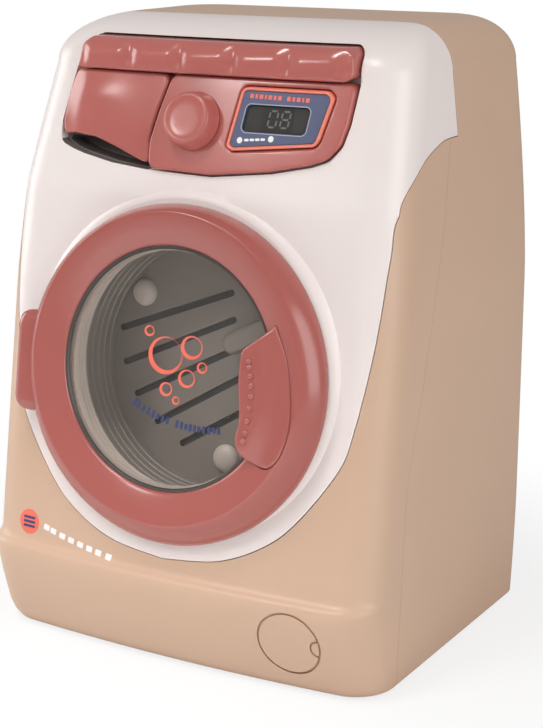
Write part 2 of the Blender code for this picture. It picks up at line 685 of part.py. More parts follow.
def make_front_shell(materials):
    shell = skin("front_shell", 0, WALL, materials["beige"])
    start = front_at(LOWER_SCREW_Z) + FRONT_BOW * (2 * SCREW_X / BODY_WIDTH) ** 2 + WALL / 2
    for x in (-SCREW_X, SCREW_X):
        post = case_post("plinth_post", x, LOWER_SCREW_Z, start, post_end())
        carve(shell, post, "UNION")
    wide = BODY_WIDTH
    front = prism("front_shell_seam", front_half_outline(-GAP / 2), "X", -wide, wide)
    # The posts reach back past the seam, so only the skin is kept by it
    carve(front, post_room(), "UNION")
    carve(shell, front, "INTERSECT")
    side, face = panel_tools("panel_region_outer", GAP / 2)
    carve(side, face, "INTERSECT")
    carve(shell, side)
    cut_plinth_groove(shell)
    cut_feet(shell, FOOT_FRONT + FRONT_FOOT_INSET)
    return shell


def post_room():
    """The space behind the seam that the lower posts run through."""
    low = (-SCREW_X - POST_RADIUS - GAP, FOOT_FRONT, LOWER_SCREW_Z - POST_RADIUS - GAP)
    high = (SCREW_X + POST_RADIUS + GAP, post_end() + GAP / 2, LOWER_SCREW_Z + POST_RADIUS + GAP)
    return block("post_room", low, high)


def cut_plinth_groove(shell):
    """The moulded ring on the plinth, with a half-moon notch at its right, cut to an even depth."""
    circle = ring_outline(GROOVE_X, GROOVE_Z, GROOVE_RADIUS)
    groove = front_layer("plinth_groove", circle, -CUT_OVERRUN, GROOVE_DEPTH, None)
    disc = ring_outline(GROOVE_X, GROOVE_Z, GROOVE_RADIUS - GROOVE_WIDTH)
    far = FOOT_FRONT - BODY_DEPTH
    carve(groove, prism("plinth_disc", disc, "Y", far, FOOT_FRONT + TOP_FRONT_SETBACK))
    carve(shell, groove)
    notch = ring_outline(GROOVE_X + GROOVE_RADIUS - GROOVE_WIDTH * 1.5, GROOVE_Z, NOTCH_RADIUS)
    return carve(shell, front_layer("plinth_notch", notch, -CUT_OVERRUN, GROOVE_DEPTH * 1.5, None))


def ring_outline(x, z, radius):
    turn = 2 * math.pi / ROUND_STEPS
    return [(x + radius * math.cos(turn * k), z + radius * math.sin(turn * k)) for k in range(ROUND_STEPS)]


def make_front_panel(materials):
    """White panel: the skin, the pan that holds the controls and the flat seat round the door."""
    panel = skin("front_panel", 0, WALL, materials["white"])
    rim = offset_outline(from_front(recess_shares), RECESS_MARGIN)
    carve(panel, front_layer("control_pan", rim, WALL / 3, RECESS_DEPTH + RECESS_FLOOR, None), "UNION")
    face = leaning_frame(DOOR_HEIGHT, FACE_LEAN)
    carve(panel, rod("door_collar", COLLAR_OUTER, -COLLAR_DEPTH, COLLAR_TOP, FINE_STEPS, None, face), "UNION")
    side, seen = panel_tools("panel_region_inner", -GAP / 2)
    carve(side, seen, "INTERSECT")
    carve(panel, side, "INTERSECT")
    carve(panel, rod("door_opening", COLLAR_INNER, -COLLAR_OUTER, COLLAR_OUTER, FINE_STEPS, None, face))
    pocket = from_front(finger_pocket_shares)
    wall = front_layer("finger_pocket_wall", offset_outline(pocket, RECESS_MARGIN),
                       RECESS_DEPTH + RECESS_FLOOR / 2, FINGER_POCKET_DEPTH + RECESS_FLOOR, None)
    carve(panel, wall, "UNION")
    add_panel_posts(panel)
    carve(panel, front_layer("control_recess", from_front(recess_shares), -CUT_OVERRUN, RECESS_DEPTH, None))
    carve(panel, front_layer("finger_pocket", pocket, RECESS_DEPTH / 2, FINGER_POCKET_DEPTH, None))
    add_hinge_knuckle(panel, face)
    reach = DOOR_RADIUS - (DOOR_RADIUS - COLLAR_INNER) / 2
    slot_low = (reach - LATCH_THICKNESS - GAP, -DOOR_DROP - LATCH_WIDTH / 2 - GAP, -CUT_OVERRUN)
    slot_high = (reach + GAP * 2, -DOOR_DROP + LATCH_WIDTH / 2 + GAP, CUT_OVERRUN)
    carve(panel, block("latch_slot", slot_low, slot_high, None, face))
    cut_control_holes(panel)
    return panel


def add_panel_posts(panel):
    """Screw posts at the top corners, and the short posts that carry the circuit board."""
    for x in (-UPPER_SCREW_X, UPPER_SCREW_X):
        bow = FRONT_BOW * (2 * x / BODY_WIDTH) ** 2
        start = front_at(UPPER_SCREW_Z) + RECESS_DEPTH + RECESS_FLOOR + bow
        carve(panel, case_post("panel_post", x, UPPER_SCREW_Z, start, post_end()), "UNION")
    brow = leaning_frame(CONTROL_HEIGHT, BROW_LEAN)
    for x, y in board_post_shares:
        spot = (BOARD_LENGTH * x, BOARD_HEIGHT * y)
        post = rod("board_post", BOARD_POST_RADIUS, board_front() + GAP, -RECESS_DEPTH, SMALL_STEPS,
                   None, brow, spot)
        carve(panel, post, "UNION")


def add_hinge_knuckle(panel, face):
    """A fixed knuckle on a stem, which the door's lug hides and turns round."""
    axis = face @ Matrix.Translation((-HINGE_OFFSET, -HINGE_DROP, HINGE_STAND))
    along = axis @ Matrix.Rotation(-math.pi / 2, 4, "X")
    half = LUG_HEIGHT / 2 - LUG_END_WALL - GAP
    knuckle = rod("hinge_knuckle", KNUCKLE_RADIUS, -half, half, SMALL_STEPS, None, along)
    carve(panel, knuckle, "UNION")
    bow = FRONT_BOW * (2 * HINGE_OFFSET / BODY_WIDTH) ** 2
    low = (-STEM_THICKNESS / 2, -half * 0.9, -HINGE_STAND - bow - WALL)
    stem = block("hinge_stem", low, (STEM_THICKNESS / 2, half * 0.9, 0), None, axis)
    carve(panel, stem, "UNION")
    bore = rod("hinge_bore", PIN_RADIUS + GAP, -LUG_HEIGHT, LUG_HEIGHT, SMALL_STEPS, None, along)
    return carve(panel, bore)


def cut_control_holes(panel):
    brow = leaning_frame(CONTROL_HEIGHT, BROW_LEAN)
    reach = CUT_OVERRUN * 2
    carve(panel, rod("knob_hole", KNOB_SHAFT_RADIUS + GAP * 2, -reach, reach, SMALL_STEPS, None, brow,
                     (KNOB_X, 0)))
    window = offset_outline(from_front(display_glass_shares), GAP)
    far = FOOT_FRONT - BODY_DEPTH
    carve(panel, prism("display_hole", window, "Y", far, front_at(CONTROL_HEIGHT) + reach))
    low, high = tray_box()
    gap = DRAWER_CLEARANCE
    hole_low = (low[0] - gap, far, low[2] - gap)
    hole_high = (high[0] + gap, high[1], high[2] + gap)
    return carve(panel, block("tray_hole", hole_low, hole_high))


def cut_speaker_grille(shell):
    for k in range(GRILLE_SLOTS):
        offset = (k - (GRILLE_SLOTS - 1) / 2) * GRILLE_PITCH
        half = math.sqrt((SPEAKER_RADIUS * 0.8) ** 2 - offset ** 2)
        low = (-half, REAR - WALL - GAP / 2, SPEAKER_HEIGHT + offset - GRILLE_SLOT_WIDTH / 2)
        high = (half, REAR + CUT_OVERRUN, SPEAKER_HEIGHT + offset + GRILLE_SLOT_WIDTH / 2)
        carve(shell, block("grille_slot", low, high))


def foot_places(y):
    return [(side * (BODY_WIDTH / 2 - FOOT_INSET), y) for side in (-1, 1)]


def cut_feet(shell, y):
    for x, spot in foot_places(y):
        carve(shell, rod("foot_seat", FOOT_RADIUS + GAP, -WALL, FOOT_STAND * 2, ROUND_STEPS, None,
                         Matrix.Translation((x, spot, 0))))


# Control area pieces

def make_controls(materials):
    back = RECESS_DEPTH - GAP
    panel = front_layer("control_panel", from_front(control_panel_shares), -PANEL_PROUD, back, materials["rose"])
    brow = leaning_frame(CONTROL_HEIGHT, BROW_LEAN)
    carve(panel, rod("panel_knob_hole", KNOB_SHAFT_RADIUS + GAP, -CUT_OVERRUN, CUT_OVERRUN, SMALL_STEPS,
                     None, brow, (KNOB_X, 0)))
    display = from_front(display_shares)
    glass = from_front(display_glass_shares)
    sunk = front_layer("display_pocket", offset_outline(display, GAP), -CUT_OVERRUN, DISPLAY_SINK + GAP, None)
    carve(panel, sunk)
    far = FOOT_FRONT - BODY_DEPTH
    through = front_at(CONTROL_HEIGHT) + CUT_OVERRUN * 2
    carve(panel, prism("panel_glass_hole", offset_outline(glass, GAP), "Y", far, through))
    bezel = front_layer("display_bezel", display, -BEZEL_PROUD, DISPLAY_SINK, materials["coral"])
    inner = offset_outline(display, -RECESS_MARGIN)
    carve(bezel, prism("bezel_hole", inner, "Y", far, through))
    plate = front_layer("display_plate", offset_outline(inner, -GAP), -BEZEL_PROUD + GAP * 3, DISPLAY_SINK,
                        materials["navy"])
    carve(plate, prism("plate_glass_hole", glass, "Y", far, through))
    front_layer("display_glass", offset_outline(glass, -GAP), -BEZEL_PROUD + GAP, DISPLAY_SINK, materials["clear"])
    make_strip(materials, back)
    make_knob(materials, brow)
    make_board(materials, brow)


def make_strip(materials, back):
    strip = front_layer("button_strip", from_front(strip_shares), -STRIP_PROUD, back, materials["rose"])
    low, high = strip_shares[3][1] * BODY_HEIGHT, strip_shares[0][1] * BODY_HEIGHT
    middle = (low + high) / 2 - (high - low) * 0.06
    pitch = BODY_WIDTH * (strip_shares[4][0] - strip_shares[3][0]) / 2 / SCOOP_COUNT
    for k in range(SCOOP_COUNT):
        x = (k - (SCOOP_COUNT - 1) / 2) * pitch
        surface = front_at(middle) - STRIP_PROUD + FRONT_BOW * (2 * x / BODY_WIDTH) ** 2
        bm = bmesh.new()
        bmesh.ops.create_uvsphere(bm, u_segments=SMALL_STEPS, v_segments=SMALL_STEPS // 2, radius=1.0)
        size = (pitch * 0.42, SCOOP_DEPTH, (high - low) * 0.36)
        tilt = Matrix.Rotation(-BROW_LEAN * 1.5, 4, "X")
        bmesh.ops.transform(bm, verts=bm.verts, matrix=Matrix.Translation((x, surface, middle)) @ tilt
                            @ Matrix.Diagonal((*size, 1)))
        carve(strip, finish("strip_scoop", bm, None))
    return strip


def make_knob(materials, brow):
    """The programme knob: a bevelled cap with a dished face, and the stem that turns the switch."""
    foot = PANEL_PROUD + GAP * 2
    top = foot + KNOB_HEIGHT
    switch_top = -RECESS_DEPTH - RECESS_FLOOR - GAP * 4
    rim = KNOB_RADIUS * 0.86
    profile = [(0, top - KNOB_HEIGHT * 0.08), (rim * 0.9, top - KNOB_HEIGHT * 0.06), (rim * 0.95, top),
               (rim, top - KNOB_HEIGHT * 0.03), (KNOB_RADIUS * 0.9, top - KNOB_HEIGHT * 0.14),
               (KNOB_RADIUS, foot + KNOB_HEIGHT * 0.2), (KNOB_RADIUS, foot), (KNOB_SHAFT_RADIUS, foot),
               (KNOB_SHAFT_RADIUS, switch_top - SWITCH_HEIGHT / 2), (0, switch_top - SWITCH_HEIGHT / 2)]
    frame = brow @ Matrix.Translation((KNOB_X, 0, 0))
    knob = turned("knob", profile, ROUND_STEPS, materials["rose"], frame)
    bore = KNOB_SHAFT_RADIUS + GAP
    profile = [(0, switch_top - SWITCH_HEIGHT), (SWITCH_RADIUS, switch_top - SWITCH_HEIGHT),
               (SWITCH_RADIUS, switch_top), (bore, switch_top),
               (bore, switch_top - SWITCH_HEIGHT / 2 - GAP), (0, switch_top - SWITCH_HEIGHT / 2 - GAP)]
    turned("rotary_switch", profile, ROUND_STEPS, materials["dark"], frame)
    pivot("knob_axis", frame, [knob])
    return knob


def board_front():
    """Depth of the board's front face behind the skin."""
    return -RECESS_DEPTH - RECESS_FLOOR - GAP * 4 - SWITCH_HEIGHT - GAP


def make_board(materials, brow):
    """Circuit board behind the control panel, and the display module that stands on it."""
    front = board_front()
    left = KNOB_X - SWITCH_RADIUS
    low = (left, -BOARD_HEIGHT / 2, front - BOARD_THICKNESS)
    block("main_board", low, (left + BOARD_LENGTH * 0.86, BOARD_HEIGHT / 2, front), materials["board"], brow)
    module = front_layer("lcd_module", offset_outline(from_front(display_glass_shares), -GAP * 2),
                         DISPLAY_SINK + GAP, MODULE_REACH, materials["lcd"])
    far = BOARD_LENGTH
    carve(module, block("lcd_space", (-far, -far, front + GAP), (far, far, far), None, brow), "INTERSECT")


def tray_box():
    """Corners of the drawer's tray at rest."""
    start = front_at(TRAY_BOTTOM + TRAY_HEIGHT / 2)
    low = (TRAY_LEFT, start, TRAY_BOTTOM)
    high = (TRAY_LEFT + TRAY_WIDTH, start + TRAY_LENGTH + RECESS_DEPTH, TRAY_BOTTOM + TRAY_HEIGHT)
    return low, high


def make_drawer(materials):
    """Detergent drawer: a front that follows the face, moulded with its open tray."""
    front = front_layer("drawer", from_front(drawer_front_shares), -PANEL_PROUD, RECESS_DEPTH - GAP,
                        materials["rose"])
    low, high = tray_box()
    tray = block("tray_block", (low[0], low[1] + RECESS_DEPTH / 2, low[2]), high)
    hollow_low = (low[0] + TRAY_WALL, low[1] + RECESS_DEPTH + TRAY_WALL * 2, low[2] + TRAY_WALL)
    hollow_high = (high[0] - TRAY_WALL, high[1] - TRAY_WALL, high[2] + CUT_OVERRUN)
    carve(front, tray, "UNION")
    carve(front, block("tray_hollow", hollow_low, hollow_high))
    pivot("drawer_axis", Matrix.Translation(((low[0] + high[0]) / 2, low[1], (low[2] + high[2]) / 2)), [front])
    gap = DRAWER_CLEARANCE
    bow = FRONT_BOW * (2 * TRAY_LEFT / BODY_WIDTH) ** 2
    start = front_at(high[2] + gap + HOUSING_WALL) + RECESS_DEPTH + RECESS_FLOOR + bow + HOUSING_SETBACK
    outer_low = (low[0] - gap - HOUSING_WALL, start, low[2] - gap - HOUSING_WALL)
    outer_high = (high[0] + gap + HOUSING_WALL, high[1] + gap + HOUSING_WALL, high[2] + gap + HOUSING_WALL)
    housing = block("drawer_housing", outer_low, outer_high, materials["white"])
    inner_low = (low[0] - gap, start - CUT_OVERRUN, low[2] - gap)
    inner_high = (high[0] + gap, high[1] + gap, high[2] + gap)
    carve(housing, block("housing_hollow", inner_low, inner_high))


# Door

def make_door(materials, face):
    ring = door_ring(materials, face)
    window_back = DOOR_BACK + RETAINER_THICKNESS + GAP * 2
    front = window_back + WINDOW_THICKNESS
    profile = [(0, window_back + WINDOW_DOME), (WINDOW_SIGHT_RADIUS * 0.5, window_back + WINDOW_DOME * 0.8),
               (WINDOW_SIGHT_RADIUS * 0.94, window_back), (WINDOW_RADIUS, window_back), (WINDOW_RADIUS, front),
               (WINDOW_SIGHT_RADIUS * 0.94, front), (WINDOW_SIGHT_RADIUS * 0.5, front + WINDOW_DOME * 0.8),
               (0, front + WINDOW_DOME)]
    window = turned("door_window", profile, FINE_STEPS, materials["clear"], face)
    retainer = tube("window_retainer", WINDOW_RADIUS, RETAINER_INNER, DOOR_BACK + GAP,
                    DOOR_BACK + GAP + RETAINER_THICKNESS, FINE_STEPS, materials["light"], face)
    handle = door_handle(materials, face, 0, HANDLE_SEAT, "door_handle")
    axis = face @ Matrix.Translation((-HINGE_OFFSET, -HINGE_DROP, HINGE_STAND))
    along = axis @ Matrix.Rotation(-math.pi / 2, 4, "X")
    half = LUG_HEIGHT / 2 - GAP
    pin = rod("door_hinge_pin", PIN_RADIUS, -half, half, SMALL_STEPS, materials["steel"], along)
    pivot("door_axis", axis, [ring, window, retainer, handle, pin])


def door_ring(materials, face):
    """Domed ring, thicker below, with a step for the window and a lug over the hinge."""
    seat = WINDOW_RADIUS + GAP
    window_front = DOOR_BACK + RETAINER_THICKNESS + WINDOW_THICKNESS + GAP * 3
    inner = [(seat, 0, DOOR_BACK), (seat, 0, window_front), (WINDOW_SIGHT_RADIUS, 0, window_front)]
    crown = [(WINDOW_SIGHT_RADIUS, share, DOOR_CROWN * h) for share, h in ring_crown_shares]
    profile = [*inner, *crown, (WINDOW_SIGHT_RADIUS, 1, DOOR_BACK)]
    bm = bmesh.new()
    rings = []
    for k in range(FINE_STEPS):
        angle = 2 * math.pi * k / FINE_STEPS
        way = Vector((math.cos(angle), math.sin(angle)))
        rim = Vector((way.x * (DOOR_RADIUS + DOOR_SIDE_REACH), way.y * DOOR_RADIUS - DOOR_DROP))
        spots = [(way * r).lerp(rim, share) for r, share, _ in profile]
        rings.append([bm.verts.new((p.x, p.y, h)) for p, (_, _, h) in zip(spots, profile)])
    for k, ring in enumerate(rings):
        after = rings[(k + 1) % FINE_STEPS]
        for i in range(len(profile)):
            j = (i + 1) % len(profile)
            bm.faces.new((ring[i], ring[j], after[j], after[i]))
    door = finish("door_ring", bm, materials["rose"], face)
    add_hinge_lug(door, face)
    reach = DOOR_RADIUS - (DOOR_RADIUS - COLLAR_INNER) / 2
    low = (reach - LATCH_THICKNESS, -DOOR_DROP - LATCH_WIDTH / 2, DOOR_BACK - LATCH_LENGTH)
    high = (reach, -DOOR_DROP + LATCH_WIDTH / 2, DOOR_BACK * 2)
    carve(door, block("latch_hook", low, high, None, face), "UNION")
    return carve(door, door_handle(None, face, GAP, HANDLE_SEAT - GAP, "handle_seat"))


def add_hinge_lug(door, face):
    """A hollow lug at the left, open behind and at the side so that it clears the fixed knuckle."""
    half = LUG_HEIGHT / 2
    top = HINGE_STAND + KNUCKLE_RADIUS + GAP * 2 + LUG_FRONT_WALL
    left = -HINGE_OFFSET - LUG_SIDE
    right = -DOOR_RADIUS + LUG_ROOT
    corner = LUG_SIDE
    outline = [(right, -half), (left + corner, -half), (left, -half + corner), (left, half - corner),
               (left + corner, half), (right, half)]
    outline = [(x, y - HINGE_DROP) for x, y in outline]
    levels = ((DOOR_BACK, 0), (top - LUG_FRONT_WALL, 0), (top - LUG_FRONT_WALL / 3, LUG_FRONT_WALL / 3),
              (top, LUG_FRONT_WALL))
    lug = cushion("hinge_lug", outline, levels, None, face)
    carve(door, lug, "UNION")
    inner = half - LUG_END_WALL
    axis_gap = KNUCKLE_RADIUS + GAP * 3
    low = (left - CUT_OVERRUN, -HINGE_DROP - inner, DOOR_BACK - CUT_OVERRUN)
    high = (-HINGE_OFFSET + axis_gap, -HINGE_DROP + inner, top - LUG_FRONT_WALL)
    carve(door, block("lug_hollow", low, high, None, face))
    along = (face @ Matrix.Translation((-HINGE_OFFSET, -HINGE_DROP, HINGE_STAND))
             @ Matrix.Rotation(-math.pi / 2, 4, "X"))
    return carve(door, rod("lug_bore", PIN_RADIUS + GAP, -half, half, SMALL_STEPS, None, along))


def door_handle(materials, face, margin, seat, name):
    """The grip cap on the door's right, or the seat for it in the ring, grown by a margin."""
    outline = [(DOOR_RADIUS * x, DOOR_RADIUS * y) for x, y in handle_shares]
    top = HANDLE_SEAT + HANDLE_THICKNESS + (0 if materials else CUT_OVERRUN)
    if materials is None:
        return prism(name, offset_outline(outline, margin), "Z", seat, top, None, face)
    levels = ((seat, 0), (top - HANDLE_THICKNESS * 0.5, 0), (top - HANDLE_THICKNESS * 0.15, HANDLE_THICKNESS * 0.2),
              (top, HANDLE_THICKNESS * 0.55))
    return cushion(name, outline, levels, materials["rose"], face)


# Tub, drum and drive, all on the drum axis

def drum_levels():
    """Heights on the drum axis, measured outwards from the face."""
    flange_top = -COLLAR_DEPTH - GAP
    drum_front = -MOUTH_DEPTH - RUNNING_GAP
    disc_front = drum_front - DRUM_DEPTH + DISC_THICKNESS
    drum_back = disc_front - DISC_THICKNESS
    tub_floor = drum_back - RUNNING_GAP * 2
    return flange_top, drum_front, disc_front, drum_back, tub_floor


def make_mouth_ring(materials, face):
    """Light grey stepped ring that lines the opening and hides the gap to the drum."""
    flange_top = drum_levels()[0]
    outer = COLLAR_INNER - GAP
    top = COLLAR_TOP - GAP
    profile = [(outer, top), (outer, flange_top), (MOUTH_FLANGE, flange_top),
               (MOUTH_FLANGE, flange_top - FLANGE_THICKNESS), (outer, flange_top - FLANGE_THICKNESS),
               (outer, -MOUTH_DEPTH)]
    inner = outer - MOUTH_STEP * 4
    rise = (top + MOUTH_DEPTH) / 3
    profile += [(inner, -MOUTH_DEPTH), (inner, -MOUTH_DEPTH + rise), (inner + MOUTH_STEP, -MOUTH_DEPTH + rise),
                (inner + MOUTH_STEP, -MOUTH_DEPTH + rise * 2), (inner + MOUTH_STEP * 2, -MOUTH_DEPTH + rise * 2),
                (inner + MOUTH_STEP * 2, top)]
    return turned("drum_mouth_ring", profile, FINE_STEPS, materials["light"], face)


def make_tub(materials, face):
    flange_top, _, _, _, floor = drum_levels()
    inner = TUB_OUTER - TUB_WALL
    back = floor - TUB_WALL
    bearing = HUB_RADIUS + GAP + BUSH_WALL + GAP
    rear = floor - TUB_WALL - MOTOR_BOSS * 1.6
    profile = [(inner, flange_top), (TUB_FLANGE, flange_top), (TUB_FLANGE, flange_top - FLANGE_THICKNESS),
               (TUB_OUTER, flange_top - FLANGE_THICKNESS), (TUB_OUTER, back), (bearing + BEARING_WALL, back),
               (bearing + BEARING_WALL, rear), (bearing, rear), (bearing, floor), (inner, floor)]
    tub = turned("tub", profile, FINE_STEPS, materials["grey"], face)
    tube("drum_bush", bearing - GAP, HUB_RADIUS + GAP, rear, floor, ROUND_STEPS, materials["gear"], face)
    return tub, rear


def make_drum(materials, face, hub_end):
    """Shallow drum: stepped wall, slotted back disc, two round bosses and a lifter."""
    _, front, disc, back, _ = drum_levels()
    lip = DRUM_RADIUS - DRUM_WALL
    bore = SHAFT_RADIUS + GAP
    profile = [(0, disc)]
    radius = lip - DRUM_STEP * DRUM_STEPS
    rise = (front - disc) / DRUM_STEPS
    for k in range(DRUM_STEPS):
        profile += [(radius + DRUM_STEP * k, disc + rise * k), (radius + DRUM_STEP * k, disc + rise * (k + 1))]
    profile += [(DRUM_RADIUS, front), (DRUM_RADIUS, back), (HUB_RADIUS, back), (HUB_RADIUS, hub_end),
                (bore, hub_end), (bore, back + GAP), (0, back + GAP)]
    drum = turned("drum", profile, FINE_STEPS, materials["grey"], face)
    along = Vector((math.cos(SLOT_ANGLE), math.sin(SLOT_ANGLE)))
    across = Vector((-along.y, along.x))
    for k in range(SLOT_COUNT):
        offset = across * ((k - (SLOT_COUNT - 1) / 2) * SLOT_PITCH)
        start = offset - along * math.sqrt(SLOT_REACH ** 2 - offset.length ** 2)
        finish_at = offset + along * ((SLOT_END_X - offset.x) / along.x)
        outline = hull_of_circles([(start.x, start.y, SLOT_WIDTH / 2), (finish_at.x, finish_at.y, SLOT_WIDTH / 2)], 8)
        carve(drum, prism("drum_slot", outline, "Z", disc - DISC_THICKNESS / 2, front, None, face))
    end = LIFTER_START + along * (radius - LIFTER_START.length)
    outline = hull_of_circles([(LIFTER_START.x, LIFTER_START.y, LIFTER_RADIUS), (end.x, end.y, LIFTER_RADIUS)],
                              SMALL_STEPS)
    carve(drum, prism("drum_lifter", outline, "Z", disc - DISC_THICKNESS / 2, disc + LIFTER_HEIGHT, None, face), "UNION")
    for spot in (Vector((-0.68, 0.46)) * radius, Vector((0.16, -0.75)) * radius):
        bm = bmesh.new()
        bmesh.ops.create_uvsphere(bm, u_segments=SMALL_STEPS, v_segments=SMALL_STEPS // 2, radius=1.0)
        size = (DIMPLE_RADIUS, DIMPLE_RADIUS, DIMPLE_HEIGHT)
        bmesh.ops.transform(bm, verts=bm.verts, matrix=Matrix.Translation((spot.x, spot.y, disc))
                            @ Matrix.Diagonal((*size, 1)))
        carve(drum, finish("drum_boss", bm, None, face), "UNION")
    return drum


def gear_places():
    """Centres of the drum gear, the idler and the pinion, one below the other."""
    idler = -GEAR_MODULE * (DRUM_GEAR_TEETH + SMALL_GEAR_TEETH) / 2
    pinion = idler - GEAR_MODULE * (IDLER_TEETH + PINION_TEETH) / 2
    return (0, 0), (0, idler), (0, pinion)


def make_drive(materials, face, drum, hub_end):
    """Gearbox, gears, shafts and motor behind the tub."""
    back = drum_levels()[3]
    drum_spot, idler_spot, pinion_spot = gear_places()
    box_front = hub_end - GAP
    plate_back = box_front - BOX_WALL
    first_top = plate_back - GAP * 2
    first_low = first_top - GEAR_WIDTH
    second_top = first_low - GAP * 2
    second_low = second_top - GEAR_WIDTH
    cover_front = second_low - GAP * 2
    cover_back = cover_front - BOX_WALL
    reach = GEAR_MODULE / 2 * 1.15 + BOX_MARGIN
    circles = [(*drum_spot, GEAR_MODULE * DRUM_GEAR_TEETH / 2 + reach),
               (*idler_spot, GEAR_MODULE * IDLER_TEETH / 2 + reach),
               (*pinion_spot, MOTOR_RADIUS)]
    inner = hull_of_circles(circles, ROUND_STEPS)
    outer = offset_outline(inner, BOX_WALL)
    housing = prism("gearbox_housing", outer, "Z", cover_front + GAP, box_front, materials["white"], face)
    carve(housing, prism("gearbox_hollow", inner, "Z", cover_front - CUT_OVERRUN, plate_back, None, face))
    carve(housing, rod("gearbox_shaft_hole", SHAFT_RADIUS + GAP, plate_back - CUT_OVERRUN, box_front + CUT_OVERRUN,
                       SMALL_STEPS, None, face))
    carve(housing, rod("gearbox_axle_hole", AXLE_RADIUS + GAP, plate_back - CUT_OVERRUN, box_front + CUT_OVERRUN,
                       SMALL_STEPS, None, face, idler_spot))
    cover = prism("gearbox_cover", outer, "Z", cover_back, cover_front, materials["white"], face)
    for name, radius, spot in (("cover_shaft_hole", SHAFT_RADIUS, drum_spot), ("cover_axle_hole", AXLE_RADIUS, idler_spot),
                               ("cover_motor_hole", MOTOR_BOSS, pinion_spot)):
        carve(cover, rod(name, radius + GAP, cover_back - CUT_OVERRUN, cover_front + CUT_OVERRUN,
                         SMALL_STEPS, None, face, spot))
    shaft = rod("drum_shaft", SHAFT_RADIUS, cover_back, back, SMALL_STEPS, materials["steel"], face)
    rod("idler_axle", AXLE_RADIUS, cover_back, box_front, SMALL_STEPS, materials["steel"], face, idler_spot)
    down = -math.pi / 2
    big = gear("drum_gear", DRUM_GEAR_TEETH, down, drum_spot, first_low, first_top, materials["gear"], face)
    carve(big, rod("drum_gear_bore", SHAFT_RADIUS + GAP, first_low - CUT_OVERRUN, first_top + CUT_OVERRUN,
                   SMALL_STEPS, None, face))
    half_tooth = math.pi / SMALL_GEAR_TEETH
    idler = gear("idler_gear", SMALL_GEAR_TEETH, -down + half_tooth, idler_spot, second_top - GEAR_WIDTH / 2,
                 first_top, materials["gear"], face)
    wheel = gear("idler_wheel", IDLER_TEETH, down, idler_spot, second_low, second_top, None, face)
    carve(idler, wheel, "UNION")
    carve(idler, rod("idler_bore", AXLE_RADIUS + GAP, second_low - CUT_OVERRUN, first_top + CUT_OVERRUN,
                     SMALL_STEPS, None, face, idler_spot))
    half_tooth = math.pi / PINION_TEETH
    pinion = gear("motor_pinion", PINION_TEETH, -down + half_tooth, pinion_spot, second_low, second_top,
                  materials["gear"], face)
    carve(pinion, rod("pinion_bore", MOTOR_SHAFT_RADIUS + GAP, second_low - CUT_OVERRUN, second_top + CUT_OVERRUN,
                      SMALL_STEPS, None, face, pinion_spot))
    motor_front = cover_back - GAP
    motor_shaft = rod("motor_shaft", MOTOR_SHAFT_RADIUS, motor_front - MOTOR_BOSS, second_top, SMALL_STEPS,
                      materials["steel"], face, pinion_spot)
    make_motor(materials, face, pinion_spot, motor_front, cover_front)
    at = [face @ Matrix.Translation((*spot, 0)) for spot in (drum_spot, idler_spot, pinion_spot)]
    pivot("drum_axis", at[0], [drum, shaft, big])
    pivot("idler_axis", at[1], [idler])
    pivot("pinion_axis", at[2], [pinion, motor_shaft])


def make_motor(materials, face, spot, front, boss_front):
    """A small can motor: round sides, two flats and a boss that seats in the gearbox cover."""
    outline = []
    for k in range(ROUND_STEPS):
        angle = 2 * math.pi * k / ROUND_STEPS
        x = MOTOR_RADIUS * math.cos(angle)
        y = max(-MOTOR_FLAT, min(MOTOR_FLAT, MOTOR_RADIUS * math.sin(angle)))
        outline.append((spot[0] + x, spot[1] + y))
    motor = prism("motor", outline, "Z", front - MOTOR_LENGTH, front, materials["steel"], face)
    carve(motor, rod("motor_boss", MOTOR_BOSS, front - MOTOR_BOSS, boss_front, SMALL_STEPS, None, face, spot), "UNION")
    return carve(motor, rod("motor_bore", MOTOR_SHAFT_RADIUS + GAP, front - MOTOR_BOSS - GAP, boss_front + CUT_OVERRUN,
                            SMALL_STEPS, None, face, spot))


# Batteries

def battery_space():
    """Half length, the front and rear planes and the height range of the cells' box, inside."""
    half = (CELL_LENGTH + SPRING_LENGTH) / 2 + CONTACT_THICKNESS + GAP * 2
    rear = REAR - WALL - GAP
    front = rear - CELL_RADIUS * 2 - GAP * 2
    top = BATTERY_BASE + CELL_PITCH * CELL_COUNT
    return half, front, rear, BATTERY_BASE, top


